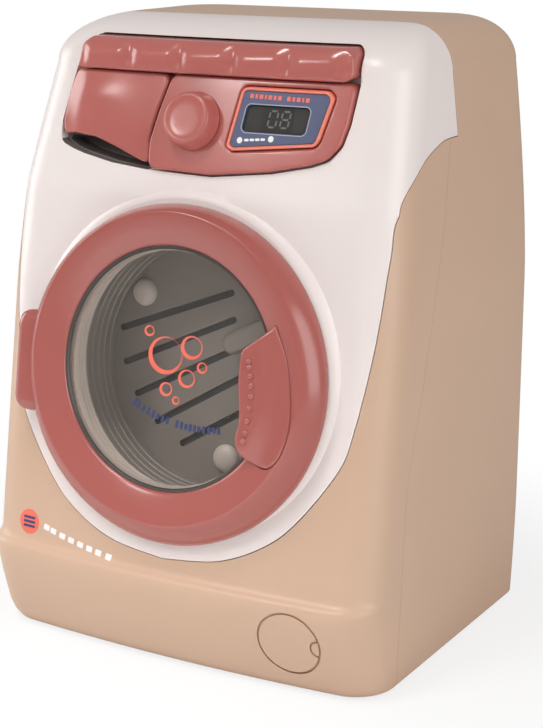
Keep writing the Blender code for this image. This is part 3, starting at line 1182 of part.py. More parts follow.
def make_batteries(materials):
    half, front, rear, bottom, top = battery_space()
    wall = BATTERY_WALL
    box = block("battery_box", (-half - wall, front - wall, bottom - wall), (half + wall, rear, top + wall),
                materials["dark"])
    carve(box, block("battery_hollow", (-half, front, bottom), (half, rear + CUT_OVERRUN, top)))
    eye = block("screw_eye", (-SCREW_EYE / 2, rear - SCREW_EYE * 1.2, top + wall / 2),
                (SCREW_EYE / 2, rear, top + SCREW_EYE))
    carve(box, eye, "UNION")
    carve(box, rod("screw_eye_bore", SCREW_RADIUS + GAP / 2, -SCREW_EYE - WALL, CUT_OVERRUN, SMALL_STEPS, None,
                   battery_screw_frame()))
    middle = (front + rear) / 2
    for k in range(CELL_COUNT):
        side = 1 if k % 2 == 0 else -1
        height = bottom + CELL_PITCH * (k + 0.5)
        turn = Matrix.Rotation(side * math.pi / 2, 4, "Y")
        frame = Matrix.Translation((0, middle, height)) @ turn
        low = -half + CONTACT_THICKNESS + GAP + SPRING_LENGTH
        body = low + CELL_LENGTH - CELL_TIP
        profile = [(0, low), (CELL_RADIUS, low), (CELL_RADIUS, body), (CELL_RADIUS * 0.36, body),
                   (CELL_RADIUS * 0.36, body + CELL_TIP), (0, body + CELL_TIP)]
        turned(f"battery_cell_{k + 1}", profile, ROUND_STEPS // 2, materials["cell"], frame)
        contact_spring(f"contact_spring_{k + 1}", frame, -half + GAP + CONTACT_THICKNESS, low - GAP, materials)
        size = CELL_RADIUS * 0.8
        block(f"contact_plate_{k + 1}", (-size, -size, half - CONTACT_THICKNESS - GAP / 2),
              (size, size, half - GAP / 2), materials["steel"], frame)


def contact_spring(name, frame, low, high, materials):
    """A conical coil of wire on a small plate end, written as one tube."""
    turns, per_turn = 2.5, 8
    count = int(turns * per_turn)
    start, end = low + SPRING_WIRE, high - SPRING_WIRE
    rings = []
    bm = bmesh.new()
    for k in range(count + 1):
        share = k / count
        angle = 2 * math.pi * turns * share
        radius = SPRING_RADIUS * (1 - 0.35 * share)
        out = Vector((math.cos(angle), math.sin(angle), 0))
        centre = out * radius + Vector((0, 0, start + (end - start) * share))
        corners = [(1, 0), (0, 1), (-1, 0), (0, -1)]
        rings.append([bm.verts.new(centre + out * a * SPRING_WIRE + Vector((0, 0, b * SPRING_WIRE)))
                      for a, b in corners])
    for lower, upper in zip(rings, rings[1:]):
        for i in range(4):
            bm.faces.new((lower[i], lower[(i + 1) % 4], upper[(i + 1) % 4], upper[i]))
    bm.faces.new(rings[0][::-1])
    bm.faces.new(rings[-1])
    return finish(name, bm, materials["steel"], frame)


def battery_door_box(margin):
    half, _, _, bottom, top = battery_space()
    low = (-half + DOOR_MARGIN / 2 - margin, REAR - WALL + GAP, bottom - DOOR_MARGIN / 2 - margin)
    high = (half - DOOR_MARGIN / 2 + margin, REAR, top + SCREW_EYE + margin)
    return low, high


def cut_battery_opening(shell):
    """The opening over the cells, with the screw's eye above it."""
    low, high = battery_door_box(GAP)
    carve(shell, block("battery_opening", (low[0], REAR - WALL - GAP / 2, low[2]),
                       (high[0], REAR + CUT_OVERRUN, high[2])))


def battery_screw_frame():
    """On the rear face above the cells, with local Z pointing out of the back."""
    height = battery_space()[4] + SCREW_EYE * 0.55
    return Matrix.Translation((0, REAR, height)) @ Matrix.Rotation(-math.pi / 2, 4, "X")


def make_battery_door(materials):
    low, high = battery_door_box(0)
    door = block("battery_door", (low[0], low[1], low[2]), high, materials["beige"])
    rib = (high[2] - low[2]) / 9
    for k in range(3):
        z = low[2] + rib * (1.5 + k)
        carve(door, block("door_grip", (-rib * 2, REAR - WALL / 4, z), (rib * 2, REAR + CUT_OVERRUN, z + rib / 2)))
    frame = battery_screw_frame()
    sunk = SCREW_HEAD_HEIGHT / 2
    cut = [(0, -CUT_OVERRUN), (SCREW_RADIUS + GAP, -CUT_OVERRUN), (SCREW_RADIUS + GAP, -sunk - GAP),
           (SCREW_HEAD_RADIUS + GAP, -sunk - GAP), (SCREW_HEAD_RADIUS + GAP, CUT_OVERRUN), (0, CUT_OVERRUN)]
    carve(door, turned("door_screw_hole", cut, SMALL_STEPS, None, frame))
    head = [(0, -SCREW_EYE), (SCREW_RADIUS, -SCREW_EYE), (SCREW_RADIUS, -sunk), (SCREW_HEAD_RADIUS, -sunk),
            (SCREW_HEAD_RADIUS, 0), (0, 0)]
    turned("battery_door_screw", head, SMALL_STEPS, materials["steel"], frame)


# Loose fittings

def make_speaker(materials):
    frame = Matrix.Translation((0, REAR - WALL - GAP, SPEAKER_HEIGHT)) @ Matrix.Rotation(-math.pi / 2, 4, "X")
    profile = [(0, -SPEAKER_DEPTH), (SPEAKER_RADIUS * 0.5, -SPEAKER_DEPTH), (SPEAKER_RADIUS * 0.5, -SPEAKER_DEPTH / 2),
               (SPEAKER_RADIUS, -SPEAKER_DEPTH / 3), (SPEAKER_RADIUS, 0), (SPEAKER_RADIUS * 0.9, 0),
               (SPEAKER_RADIUS * 0.3, -SPEAKER_DEPTH / 3), (0, -SPEAKER_DEPTH / 3)]
    turned("speaker", profile, ROUND_STEPS, materials["dark"], frame)


def make_screws(materials):
    for k, (x, z) in enumerate(screw_places()):
        frame = Matrix.Translation((x, REAR - BOSS_SEAT, z)) @ Matrix.Rotation(-math.pi / 2, 4, "X")
        profile = [(0, -SCREW_LENGTH + SCREW_HEAD_HEIGHT), (SCREW_RADIUS, -SCREW_LENGTH + SCREW_HEAD_HEIGHT * 1.5),
                   (SCREW_RADIUS, GAP), (SCREW_HEAD_RADIUS, GAP),
                   (SCREW_HEAD_RADIUS, SCREW_HEAD_HEIGHT * 0.7), (SCREW_HEAD_RADIUS * 0.6, SCREW_HEAD_HEIGHT),
                   (0, SCREW_HEAD_HEIGHT)]
        turned(f"case_screw_{k + 1}", profile, SMALL_STEPS, materials["steel"], frame)


def make_feet(materials):
    spots = foot_places(FOOT_FRONT + FRONT_FOOT_INSET) + foot_places(REAR - FOOT_INSET)
    for k, (x, y) in enumerate(spots):
        frame = Matrix.Translation((x, y, 0))
        rod(f"foot_{k + 1}", FOOT_RADIUS, 0, FOOT_STAND * 2 - GAP, ROUND_STEPS, materials["rubber"], frame)


def main():
    clear_scene()
    materials = make_materials()
    face = leaning_frame(DOOR_HEIGHT, FACE_LEAN)
    make_rear_shell(materials)
    make_front_shell(materials)
    make_front_panel(materials)
    make_controls(materials)
    make_drawer(materials)
    make_door(materials, face)
    make_mouth_ring(materials, face)
    _, hub_end = make_tub(materials, face)
    drum = make_drum(materials, face, hub_end)
    make_drive(materials, face, drum, hub_end)
    make_batteries(materials)
    make_battery_door(materials)
    make_speaker(materials)
    make_screws(materials)
    make_feet(materials)


main()
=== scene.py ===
"""Looks of a toy washing machine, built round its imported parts."""
import math

import bmesh
import bpy
from mathutils import Matrix, Vector


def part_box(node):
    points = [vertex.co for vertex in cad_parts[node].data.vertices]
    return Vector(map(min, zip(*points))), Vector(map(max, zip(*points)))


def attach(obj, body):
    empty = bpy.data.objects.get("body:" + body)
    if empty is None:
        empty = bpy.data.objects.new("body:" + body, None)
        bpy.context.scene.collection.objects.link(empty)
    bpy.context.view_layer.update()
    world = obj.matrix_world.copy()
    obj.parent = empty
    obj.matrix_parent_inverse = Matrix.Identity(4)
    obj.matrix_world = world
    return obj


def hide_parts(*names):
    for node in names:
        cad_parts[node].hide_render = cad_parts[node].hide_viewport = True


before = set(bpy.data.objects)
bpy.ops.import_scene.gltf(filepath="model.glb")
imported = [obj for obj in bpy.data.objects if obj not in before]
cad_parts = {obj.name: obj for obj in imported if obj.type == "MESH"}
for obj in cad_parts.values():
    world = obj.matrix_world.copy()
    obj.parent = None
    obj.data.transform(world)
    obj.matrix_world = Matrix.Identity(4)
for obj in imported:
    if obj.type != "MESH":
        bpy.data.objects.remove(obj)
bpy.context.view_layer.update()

MM = 0.001

# Casing, in metres
WIDTH = 172.4 * MM
HEIGHT = 240.0 * MM
DEPTH = 139.5 * MM
WALL = 2.4 * MM
GAP = 0.35 * MM
BOW = 4.5 * MM
FRONT_CORNER = 16.0 * MM
REAR_CORNER = 13.0 * MM
PLINTH = 36.5 * MM
PLINTH_BULGE = 10.8 * MM
LIP_STEP = 3.8 * MM
LIP_RISE = 3.5 * MM
BROW = HEIGHT * 0.7375
SHOULDER = HEIGHT * 0.571
CROWN = 18.0 * MM
FACE_LEAN = math.radians(8.9)
BROW_LEAN = math.radians(19.2)
SIDE_DRAW = 6.9 * MM
FOOT_DRAFT = 1.4 * MM
TOP_HALF = WIDTH / 2 - 24.5 * MM
TOP_FRONT_SETBACK = 63.8 * MM
TOP_REAR_SETBACK = 15.3 * MM
STAND = 1.0 * MM
FRONT = -DEPTH / 2 + 7.3 * MM
REAR = FRONT + DEPTH
SEAM_Y = REAR - DEPTH * 0.496
OVER = 12.0 * MM
BOW_STEPS = 28
CORNER_STEPS = 9
CROWN_STEPS = 14
ROUND = 96

# Control area
RECESS = 3.2 * MM
RECESS_FLOOR = 1.8 * MM
POCKET = 9.0 * MM
PROUD = 1.6 * MM
STRIP_PROUD = 4.2 * MM
BEZEL_PROUD = 2.4 * MM
SINK = 1.0 * MM
KNOB_HEIGHT = 6.2 * MM
KNOB_X = -2.0 * MM
KNOB_STEM = 3.0 * MM
CONTROL_Z = HEIGHT * 0.851
TRAY_LOW_Z = 200.0 * MM
TRAY_LOW = (-57.5 * MM, TRAY_LOW_Z)
TRAY_SIZE = (31.0 * MM, 40.0 * MM, 13.5 * MM)

# Door and drum, on one axis square to the face
DOOR_Z = HEIGHT * 0.48125
DOOR_RADIUS = HEIGHT * 0.2642
DOOR_DROP = 2.6 * MM
DOOR_REACH = 1.3 * MM
DOOR_BACK = 1.0 * MM
SIGHT = DOOR_RADIUS - 17.9 * MM
WINDOW = SIGHT + 3.5 * MM
COLLAR = WINDOW + 1.6 * MM
DRUM = COLLAR + 2.2 * MM
HINGE_X = DOOR_RADIUS + 1.9 * MM
HINGE_DROP = 4.5 * MM
HINGE_STAND = 3.2 * MM
LUG_HALF = 19.5 * MM
LUG_END = 3.5 * MM
LUG_WALL = 2.2 * MM
KNUCKLE = 2.5 * MM
PIN_BORE = 1.55 * MM
LATCH_X = DOOR_RADIUS - (DOOR_RADIUS - COLLAR) / 2
LATCH_THICK = 2.6 * MM
LATCH_HALF = 4 * MM

# Camera: sensor width in mm, focal length and long side of the photograph in pixels
SENSOR = 36.0
FOCAL_PIXELS = 1790
PHOTO_PIXELS = 728

plinth_swell = ((0, 0), (0.09, 0.27), (0.22, 0.49), (0.4, 0.66), (0.54, 0.78), (0.68, 0.88), (0.8, 0.96),
                (0.9, 1.0), (1, 0.97))
# The plinth's upper edge and the hollow above it: height, and depth behind the furthest bulge
plinth_lip = ((32.8 * MM, 0.0), (34.6 * MM, 0.04 * MM), (35.7 * MM, 0.22 * MM), (36.4 * MM, 0.6 * MM),
              (36.9 * MM, 1.15 * MM), (37.3 * MM, 1.9 * MM), (37.9 * MM, 2.75 * MM), (38.8 * MM, 3.35 * MM),
              (40.0 * MM, 3.8 * MM))
crease = ((0.541, 0.83), (0.584, 0.755), (0.626, 0.676), (0.676, 0.6), (0.715, 0.521), (0.74, 0.468),
          (0.816, 0.335), (0.843, 0.172), (0.848, -0.05))
panel_side = ((0.496, 0.832), (0.56, 0.831), (0.612, 0.826), (0.708, 0.806), (0.785, 0.772),
              (0.824, 0.739), (0.842, 0.68))
panel_front = ((1.06, 0.77), (0.945, 0.739), (0.932, 0.675), (0.92, 0.589), (0.9, 0.516), (0.86, 0.427),
               (0.81, 0.366), (0.65, 0.283), (0.5, 0.2335), (0.28, 0.197), (0, 0.1835))
recess = ((-0.634, 0.9745), (-0.682, 0.965), (-0.715, 0.921), (-0.747, 0.838), (-0.737, 0.806),
          (-0.66, 0.797), (-0.59, 0.791), (-0.43, 0.7815), (-0.235, 0.776), (0.09, 0.7735),
          (0.375, 0.785), (0.556, 0.7985), (0.63, 0.808), (0.68, 0.83), (0.7, 0.862),
          (0.712, 0.918), (0.7, 0.963), (0.664, 0.9745))
strip_form = ((-0.63, 0.9715), (-0.668, 0.961), (-0.682, 0.926), (-0.662, 0.9225), (0.655, 0.9225),
              (0.695, 0.93), (0.688, 0.961), (0.655, 0.9715))
drawer_form = ((-0.7, 0.9205), (-0.725, 0.888), (-0.741, 0.838), (-0.731, 0.817), (-0.655, 0.8205),
               (-0.54, 0.8175), (-0.45, 0.808), (-0.34, 0.7945), (-0.232, 0.782), (-0.245, 0.82),
               (-0.222, 0.865), (-0.182, 0.9205))
panel_form = ((-0.174, 0.9205), (-0.214, 0.865), (-0.237, 0.82), (-0.224, 0.7795), (0.09, 0.777),
              (0.375, 0.7885), (0.552, 0.802), (0.622, 0.811), (0.672, 0.832), (0.692, 0.862),
              (0.702, 0.9205))
pocket_form = ((-0.705, 0.815), (-0.715, 0.808), (-0.655, 0.7985), (-0.59, 0.7925), (-0.43, 0.783),
               (-0.25, 0.7775), (-0.25, 0.787), (-0.4, 0.815))
display_form = ((0.19, 0.909), (0.588, 0.909), (0.621, 0.9), (0.582, 0.838), (0.566, 0.829),
                (0.187, 0.8155), (0.154, 0.8215))
glass_form = ((0.236, 0.8835), (0.509, 0.8835), (0.522, 0.879), (0.514, 0.848), (0.499, 0.8445),
              (0.23, 0.8445), (0.216, 0.849), (0.224, 0.879))
handle_form = ((0.73, 0.35), (0.62, 0.25), (0.56, 0.205), (0.535, 0.165), (0.53, 0.02), (0.545, -0.12),
               (0.553, -0.23), (0.535, -0.32), (0.57, -0.4), (0.65, -0.448), (0.75, -0.465),
               (0.83, -0.385), (0.878, -0.21), (0.87, -0.045), (0.82, 0.165))


# Modelling steps

def corner_key(point):
    return tuple(round(c * 1e6) for c in point)


def lay_ring(name, points):
    """An edge ring laid through points, open for editing with all of it selected."""
    bpy.ops.object.select_all(action="DESELECT")
    bpy.ops.mesh.primitive_circle_add(vertices=len(points), radius=10 * MM, fill_type="NOTHING")
    piece = bpy.context.object
    piece.name = name
    piece.data.name = name
    for vertex, point in zip(piece.data.vertices, points):
        vertex.co = point
    bpy.ops.object.mode_set(mode="EDIT")
    bpy.ops.mesh.select_all(action="SELECT")
    return piece


def extrude_to(piece, before, after):
    """Extrudes the selected ring or cap and moves it from its old points to the next ones."""
    bpy.ops.mesh.extrude_region_move()
    where = {corner_key(p): q for p, q in zip(before, after)}
    mesh = bmesh.from_edit_mesh(piece.data)
    for vertex in mesh.verts:
        if vertex.select:
            vertex.co = where[corner_key(vertex.co)]
    bmesh.update_edit_mesh(piece.data)


def close_up(piece):
    """Merges what meets, turns every face outwards and leaves the edit."""
    bpy.ops.mesh.select_all(action="SELECT")
    bpy.ops.mesh.remove_doubles(threshold=1e-6)
    bpy.ops.mesh.delete_loose(use_verts=True, use_edges=True, use_faces=False)
    bpy.ops.mesh.select_all(action="SELECT")
    bpy.ops.mesh.normals_make_consistent(inside=False)
    bpy.ops.object.mode_set(mode="OBJECT")
    return piece


def loft(name, rings):
    """A closed solid whose cap is extruded from ring to ring."""
    rings = [[Vector(p) for p in ring] for ring in rings]
    piece = lay_ring(name, rings[0])
    bpy.ops.mesh.edge_face_add()
    for before, after in zip(rings, rings[1:]):
        extrude_to(piece, before, after)
    return close_up(piece)


def hoop(name, rings):
    """A ring-shaped solid: one section extruded all the way round to its start."""
    rings = [[Vector(p) for p in ring] for ring in rings]
    piece = lay_ring(name, rings[0])
    for before, after in zip(rings, [*rings[1:], rings[0]]):
        extrude_to(piece, before, after)
    return close_up(piece)


def spun(name, profile, steps, place, centre=(0, 0)):
    """A (radius, height) profile spun about the local Z axis of a place."""
    place = place @ Matrix.Translation((*centre, 0))
    piece = lay_ring(name, [place @ Vector((r, 0, h)) for r, h in profile])
    axis = place.to_3x3() @ Vector((0, 0, 1))
    bpy.ops.mesh.spin(steps=steps, angle=2 * math.pi, center=place.translation, axis=axis)
    return close_up(piece)


def rod(name, radius, low, high, steps, place, centre=(0, 0)):
    return spun(name, [(0, low), (radius, low), (radius, high), (0, high)], steps, place, centre)


def prism(name, outline, axis, low, high, place=None):
    """An outline extruded along X, Y or Z."""
    spot = {"X": lambda p, h: (h, p[0], p[1]),
            "Y": lambda p, h: (p[0], h, p[1]),
            "Z": lambda p, h: (p[0], p[1], h)}[axis]
    place = place or Matrix()
    return loft(name, [[place @ Vector(spot(p, h)) for p in outline] for h in (low, high)])


def block(name, low, high, place=None):
    outline = [(low[0], low[1]), (high[0], low[1]), (high[0], high[1]), (low[0], high[1])]
    return prism(name, outline, "Z", low[2], high[2], place)


def apply_modifier(piece, modifier):
    bpy.ops.object.select_all(action="DESELECT")
    piece.select_set(True)
    bpy.context.view_layer.objects.active = piece
    bpy.ops.object.modifier_apply(modifier=modifier.name)


def carve(piece, tool, how="DIFFERENCE"):
    """Cuts, joins or keeps the tool's volume, and then drops the tool."""
    modifier = piece.modifiers.new("carving", "BOOLEAN")
    modifier.object = tool
    modifier.operation = how
    modifier.solver = "EXACT"
    apply_modifier(piece, modifier)
    bpy.data.objects.remove(tool, do_unlink=True)
    return piece


def ease(piece, width, segments=3, angle=38):
    """Rounds the edges by a small radius."""
    modifier = piece.modifiers.new("eased_edges", "BEVEL")
    modifier.width = width
    modifier.segments = segments
    modifier.limit_method = "ANGLE"
    modifier.angle_limit = math.radians(angle)
    modifier.use_clamp_overlap = False
    apply_modifier(piece, modifier)
    return piece


def polish(piece, angle=42):
    """Smooth shading, with the flat faces kept flat."""
    bpy.ops.object.select_all(action="DESELECT")
    piece.select_set(True)
    bpy.context.view_layer.objects.active = piece
    bpy.ops.object.shade_smooth_by_angle(angle=math.radians(angle))
    modifier = piece.modifiers.new("flat_faces", "WEIGHTED_NORMAL")
    modifier.keep_sharp = True
    apply_modifier(piece, modifier)
    return piece


def slice_up(piece, axis, low, high, pitch):
    """Cuts a mesh into strips across one axis, so that it can follow a curved surface."""
    bpy.ops.object.select_all(action="DESELECT")
    piece.select_set(True)
    bpy.context.view_layer.objects.active = piece
    bpy.ops.object.mode_set(mode="EDIT")
    way = Vector([1.0 if k == axis else 0.0 for k in range(3)])
    for k in range(1, int((high - low) / pitch)):
        bpy.ops.mesh.select_all(action="SELECT")
        bpy.ops.mesh.bisect(plane_co=way * (low + pitch * k), plane_no=way, use_fill=False)
    bpy.ops.object.mode_set(mode="OBJECT")
    return piece


def reshape(piece, form):
    """Moves each corner of a mesh to the place that a form gives it."""
    for vertex in piece.data.vertices:
        vertex.co = form(vertex.co.copy())
    piece.data.update()
    return piece


def merged(name, pieces):
    """Several meshes joined as one piece."""
    bpy.ops.object.select_all(action="DESELECT")
    for piece in pieces:
        piece.select_set(True)
    bpy.context.view_layer.objects.active = pieces[0]
    bpy.ops.object.join()
    pieces[0].name = name
    return pieces[0]


def curve_through(points, steps):
    """Points along a smooth curve through the given ones."""
    ends = [points[0], *points, points[-1]]
    curve = []
    for i in range(1, len(ends) - 2):
        p0, p1, p2, p3 = (Vector(p) for p in ends[i - 1:i + 3])
        for k in range(steps):
            t = k / steps
            curve.append(((2 * p1) + (p2 - p0) * t + (2 * p0 - 5 * p1 + 4 * p2 - p3) * t * t
                          + (3 * p1 - p0 - 3 * p2 + p3) * t ** 3) / 2)
    return [*curve, Vector(points[-1])]


def rounded(outline, radius, steps=5):
    """An outline with each corner turned by an arc that fits between its neighbours."""
    points = [Vector(p) for p in outline]
    result = []
    for i, point in enumerate(points):
        back = points[i - 1] - point
        ahead = points[(i + 1) % len(points)] - point
        turn = math.pi - back.angle(ahead)
        cut = min(radius * math.tan(turn / 2), back.length * 0.45, ahead.length * 0.45)
        start = point + back.normalized() * cut
        end = point + ahead.normalized() * cut
        if turn < math.radians(3):
            result.append(point)
            continue
        for k in range(steps + 1):
            t = k / steps
            result.append(start * (1 - t) ** 2 + point * 2 * t * (1 - t) + end * t * t)
    return result


def area_of(outline):
    return sum(a[0] * b[1] - b[0] * a[1] for a, b in zip(outline, [*outline[1:], outline[0]])) / 2


def offset(outline, distance):
    """The outline moved outwards by a distance, or inwards where it is negative."""
    sign = 1 if area_of(outline) > 0 else -1
    moved = []
    for i, point in enumerate(outline):
        before = (Vector(point) - Vector(outline[i - 1])).normalized()
        after = (Vector(outline[(i + 1) % len(outline)]) - Vector(point)).normalized()
        normal = Vector((before.y + after.y, -before.x - after.x)).normalized()
        reach = distance / max(normal.dot(Vector((before.y, -before.x))), 0.5)
        moved.append(Vector(point) + normal * reach * sign)
    return moved


def shaped(form, radius, grow=0):
    """An outline from its shares, grown by a distance, with its corners rounded."""
    return rounded(offset(from_front(form), grow), radius)


def pill(start, end, radius, steps=8):
    """The outline of a bar with round ends."""
    start, end = Vector(start), Vector(end)
    along = (end - start).normalized()
    lead = math.atan2(along.y, along.x)
    outline = []
    for middle, turn in ((end, -math.pi / 2), (start, math.pi / 2)):
        for k in range(steps + 1):
            a = lead + turn + math.pi * k / steps
            outline.append((middle.x + radius * math.cos(a), middle.y + radius * math.sin(a)))
    return outline


# Form of the casing

def crown_fall(z):
    rise = min(max((z - HEIGHT + CROWN) / CROWN, 0), 1)
    return 1 - math.sqrt(1 - rise * rise)


def front_at(z):
    """Y of the casing's skin on the centre line at height z."""
    lip = FRONT - PLINTH_BULGE
    if z <= plinth_lip[0][0]:
        share = max(z, 0) / PLINTH
        for (a, low), (b, high) in zip(plinth_swell, plinth_swell[1:]):
            if share <= b:
                return FRONT - PLINTH_BULGE * (low + (high - low) * (share - a) / (b - a))
    foot = PLINTH + LIP_RISE
    if z <= foot:
        for (low, a), (high, b) in zip(plinth_lip, plinth_lip[1:]):
            if z <= high:
                return lip + a + (b - a) * (z - low) / (high - low)
    if z <= BROW:
        return lip + LIP_STEP + (z - foot) * math.tan(FACE_LEAN)
    brow = lip + LIP_STEP + (BROW - foot) * math.tan(FACE_LEAN)
    if z <= HEIGHT - CROWN:
        return brow + (z - BROW) * math.tan(BROW_LEAN)
    base = brow + (HEIGHT - CROWN - BROW) * math.tan(BROW_LEAN)
    return base + (FRONT + TOP_FRONT_SETBACK - base) * crown_fall(z)


def half_width_at(z):
    half = WIDTH / 2
    foot = max(1 - z / (PLINTH * 1.6), 0)
    half -= FOOT_DRAFT * foot * foot
    rise = max(min(z, HEIGHT - CROWN) - SHOULDER, 0) / (HEIGHT - CROWN - SHOULDER)
    half -= SIDE_DRAW * rise ** 1.5
    return half + (TOP_HALF - half) * crown_fall(z)


def stations():
    """Heights of the casing's sections."""
    foot = [share * PLINTH for share, _ in plinth_swell if share < 0.89]
    face = [*[height for height, _ in plinth_lip], PLINTH + LIP_RISE + 2 * MM, SHOULDER * 0.6, SHOULDER]
    low = [SHOULDER + (BROW - SHOULDER) * k / 8 for k in range(1, 8)]
    brow = [BROW - 3 * MM, BROW, BROW + 3 * MM]
    top = HEIGHT - CROWN
    high = [BROW + (top - BROW) * k / 8 for k in range(1, 9)]
    crown = [top + CROWN * math.sin(math.pi / 2 * k / CROWN_STEPS) for k in range(1, CROWN_STEPS + 1)]
    return foot + face + low + brow + high + crown


def section(z, inset):
    """The casing's plan outline at height z, moved inwards by inset."""
    half = half_width_at(z) - inset
    front = front_at(z) + inset
    rear = REAR - TOP_REAR_SETBACK * crown_fall(z) - inset
    nose = max(FRONT_CORNER - inset, FRONT_CORNER / 4)
    heel = max(REAR_CORNER - inset, REAR_CORNER / 4)
    flat = half - nose
    outline = []
    for k in range(BOW_STEPS + 1):
        x = -flat + 2 * flat * k / BOW_STEPS
        outline.append((x, front + BOW * (x / half) ** 2))
    shoulder = front + BOW * (flat / half) ** 2 + nose
    turn = [math.pi / 2 * k / CORNER_STEPS for k in range(1, CORNER_STEPS + 1)]
    outline += [(flat + nose * math.sin(a), shoulder - nose * math.cos(a)) for a in turn]
    back = [math.pi / 2 * k / CORNER_STEPS for k in range(CORNER_STEPS + 1)]
    outline += [(half - heel + heel * math.cos(a), rear - heel + heel * math.sin(a)) for a in back]
    outline += [(-x, y) for x, y in outline[:BOW_STEPS:-1]]
    return outline


def casing(name, inset):
    rings = []
    for z in stations():
        height = STAND + inset + z * (HEIGHT - STAND - 2 * inset) / HEIGHT
        rings.append([(x, y, height) for x, y in section(z, inset)])
    return loft(name, rings)


def skin(name, outer, inner):
    """The layer of the casing between two insets."""
    return carve(casing(name, outer), casing(name + "_core", inner))


def skin_y(x, height, inset):
    """Y of the front surface at an inset, across the bow and round the crown."""
    z = (height - STAND - inset) * HEIGHT / (HEIGHT - STAND - 2 * inset)
    half = half_width_at(z) - inset
    return front_at(z) + inset + BOW * (x / half) ** 2


def from_rear(shares):
    return [(REAR - DEPTH * d, HEIGHT * h) for d, h in shares]


def from_front(shares):
    return [(WIDTH / 2 * x, HEIGHT * h) for x, h in shares]


def front_layer(name, outline, outer, inner):
    keep = prism(name + "_outline", outline, "Y", FRONT - DEPTH, FRONT + TOP_FRONT_SETBACK)
    return carve(skin(name, outer, inner), keep, "INTERSECT")


def face_plate(name, outline, proud, depth, edge, pitch=3.0 * MM, holes=(), form=None):
    """A moulding cut flat, its front edges rounded, and then laid on the bowed front."""
    piece = prism(name, outline, "Y", -proud, depth)
    for k, hole in enumerate(holes):
        carve(piece, prism(f"{name}_hole_{k}", hole, "Y", -proud - OVER, depth + OVER))
    if edge:
        bpy.ops.object.select_all(action="DESELECT")
        piece.select_set(True)
        bpy.context.view_layer.objects.active = piece
        bpy.ops.object.mode_set(mode="EDIT")
        bpy.ops.mesh.select_mode(type="EDGE")
        mesh = bmesh.from_edit_mesh(piece.data)
        for rim in mesh.edges:
            rim.select = all(v.co.y < -proud + 1e-6 for v in rim.verts)
        bpy.ops.mesh.bevel(offset=edge, segments=5, clamp_overlap=False)
        bpy.ops.mesh.select_mode(type="VERT")
        bpy.ops.object.mode_set(mode="OBJECT")
    xs = [v.co.x for v in piece.data.vertices]
    zs = [v.co.z for v in piece.data.vertices]
    slice_up(piece, 0, min(xs), max(xs), pitch)
    slice_up(piece, 2, min(zs), max(zs), pitch)

    def lay(p):
        lift = form(p) if form and p.y < -proud + 1.5 * MM else 0
        return Vector((p.x, skin_y(p.x, p.z, p.y) + lift, p.z))

    return reshape(piece, lay)


def half_outline(shift):
    seam = [(SEAM_Y, HEIGHT + OVER), (SEAM_Y, HEIGHT * crease[0][1])]
    seam = [(y + shift, z) for y, z in [*seam, *curve_through(from_rear(crease), 6)]]
    far = FRONT - DEPTH
    return [*seam, (far, seam[-1][1]), (far, seam[0][1])]


def panel_tools(name, shift):
    """Two prisms that meet in the front panel's region."""
    side = curve_through(from_rear(panel_side), 10)
    far = FRONT - DEPTH
    side = [(SEAM_Y, HEIGHT + OVER), *side, (side[-1][0], -OVER), (far, -OVER), (far, HEIGHT + OVER)]
    right = curve_through(from_front(panel_front), 10)
    wide = WIDTH / 2 + OVER
    front = [(wide, HEIGHT + OVER), (wide, right[0][1]), *right]
    front += [(-x, z) for x, z in front[-2::-1]]
    seen_side = prism(name + "_side", offset(side, shift), "X", -wide, wide)
    seen_front = prism(name + "_front", offset(front, shift), "Y", far, SEAM_Y + OVER)
    return carve(seen_side, seen_front, "INTERSECT")


def leaning(height, lean):
    """A place on the skin: local X to the right, Y up the face and Z outwards."""
    return Matrix.Translation((0, front_at(height), height)) @ Matrix.Rotation(math.pi / 2 - lean, 4, "X")


face = leaning(DOOR_Z, FACE_LEAN)
brow = leaning(CONTROL_Z, BROW_LEAN)


# Colours and finishes

def colour(text):
    """A linear colour from an sRGB hex value."""
    parts = [int(text[i:i + 2], 16) / 255 for i in (1, 3, 5)]
    return (*[c / 12.92 if c <= 0.04045 else ((c + 0.055) / 1.055) ** 2.4 for c in parts], 1.0)


def add_node(tree, kind, inputs=None, **settings):
    """A node with its settings, and its inputs set or linked."""
    made = tree.nodes.new(kind)
    for name, value in settings.items():
        setattr(made, name, value)
    for name, value in (inputs or {}).items():
        if isinstance(value, bpy.types.NodeSocket):
            tree.links.new(value, made.inputs[name])
        else:
            made.inputs[name].default_value = value
    return made


def blank(name):
    """An empty material with its output, and object coordinates in metres."""
    material = bpy.data.materials.new(name)
    material.use_nodes = True
    tree = material.node_tree
    tree.nodes.clear()
    end = add_node(tree, "ShaderNodeOutputMaterial")
    place = add_node(tree, "ShaderNodeTexCoord").outputs["Object"]
    return material, tree, end, place


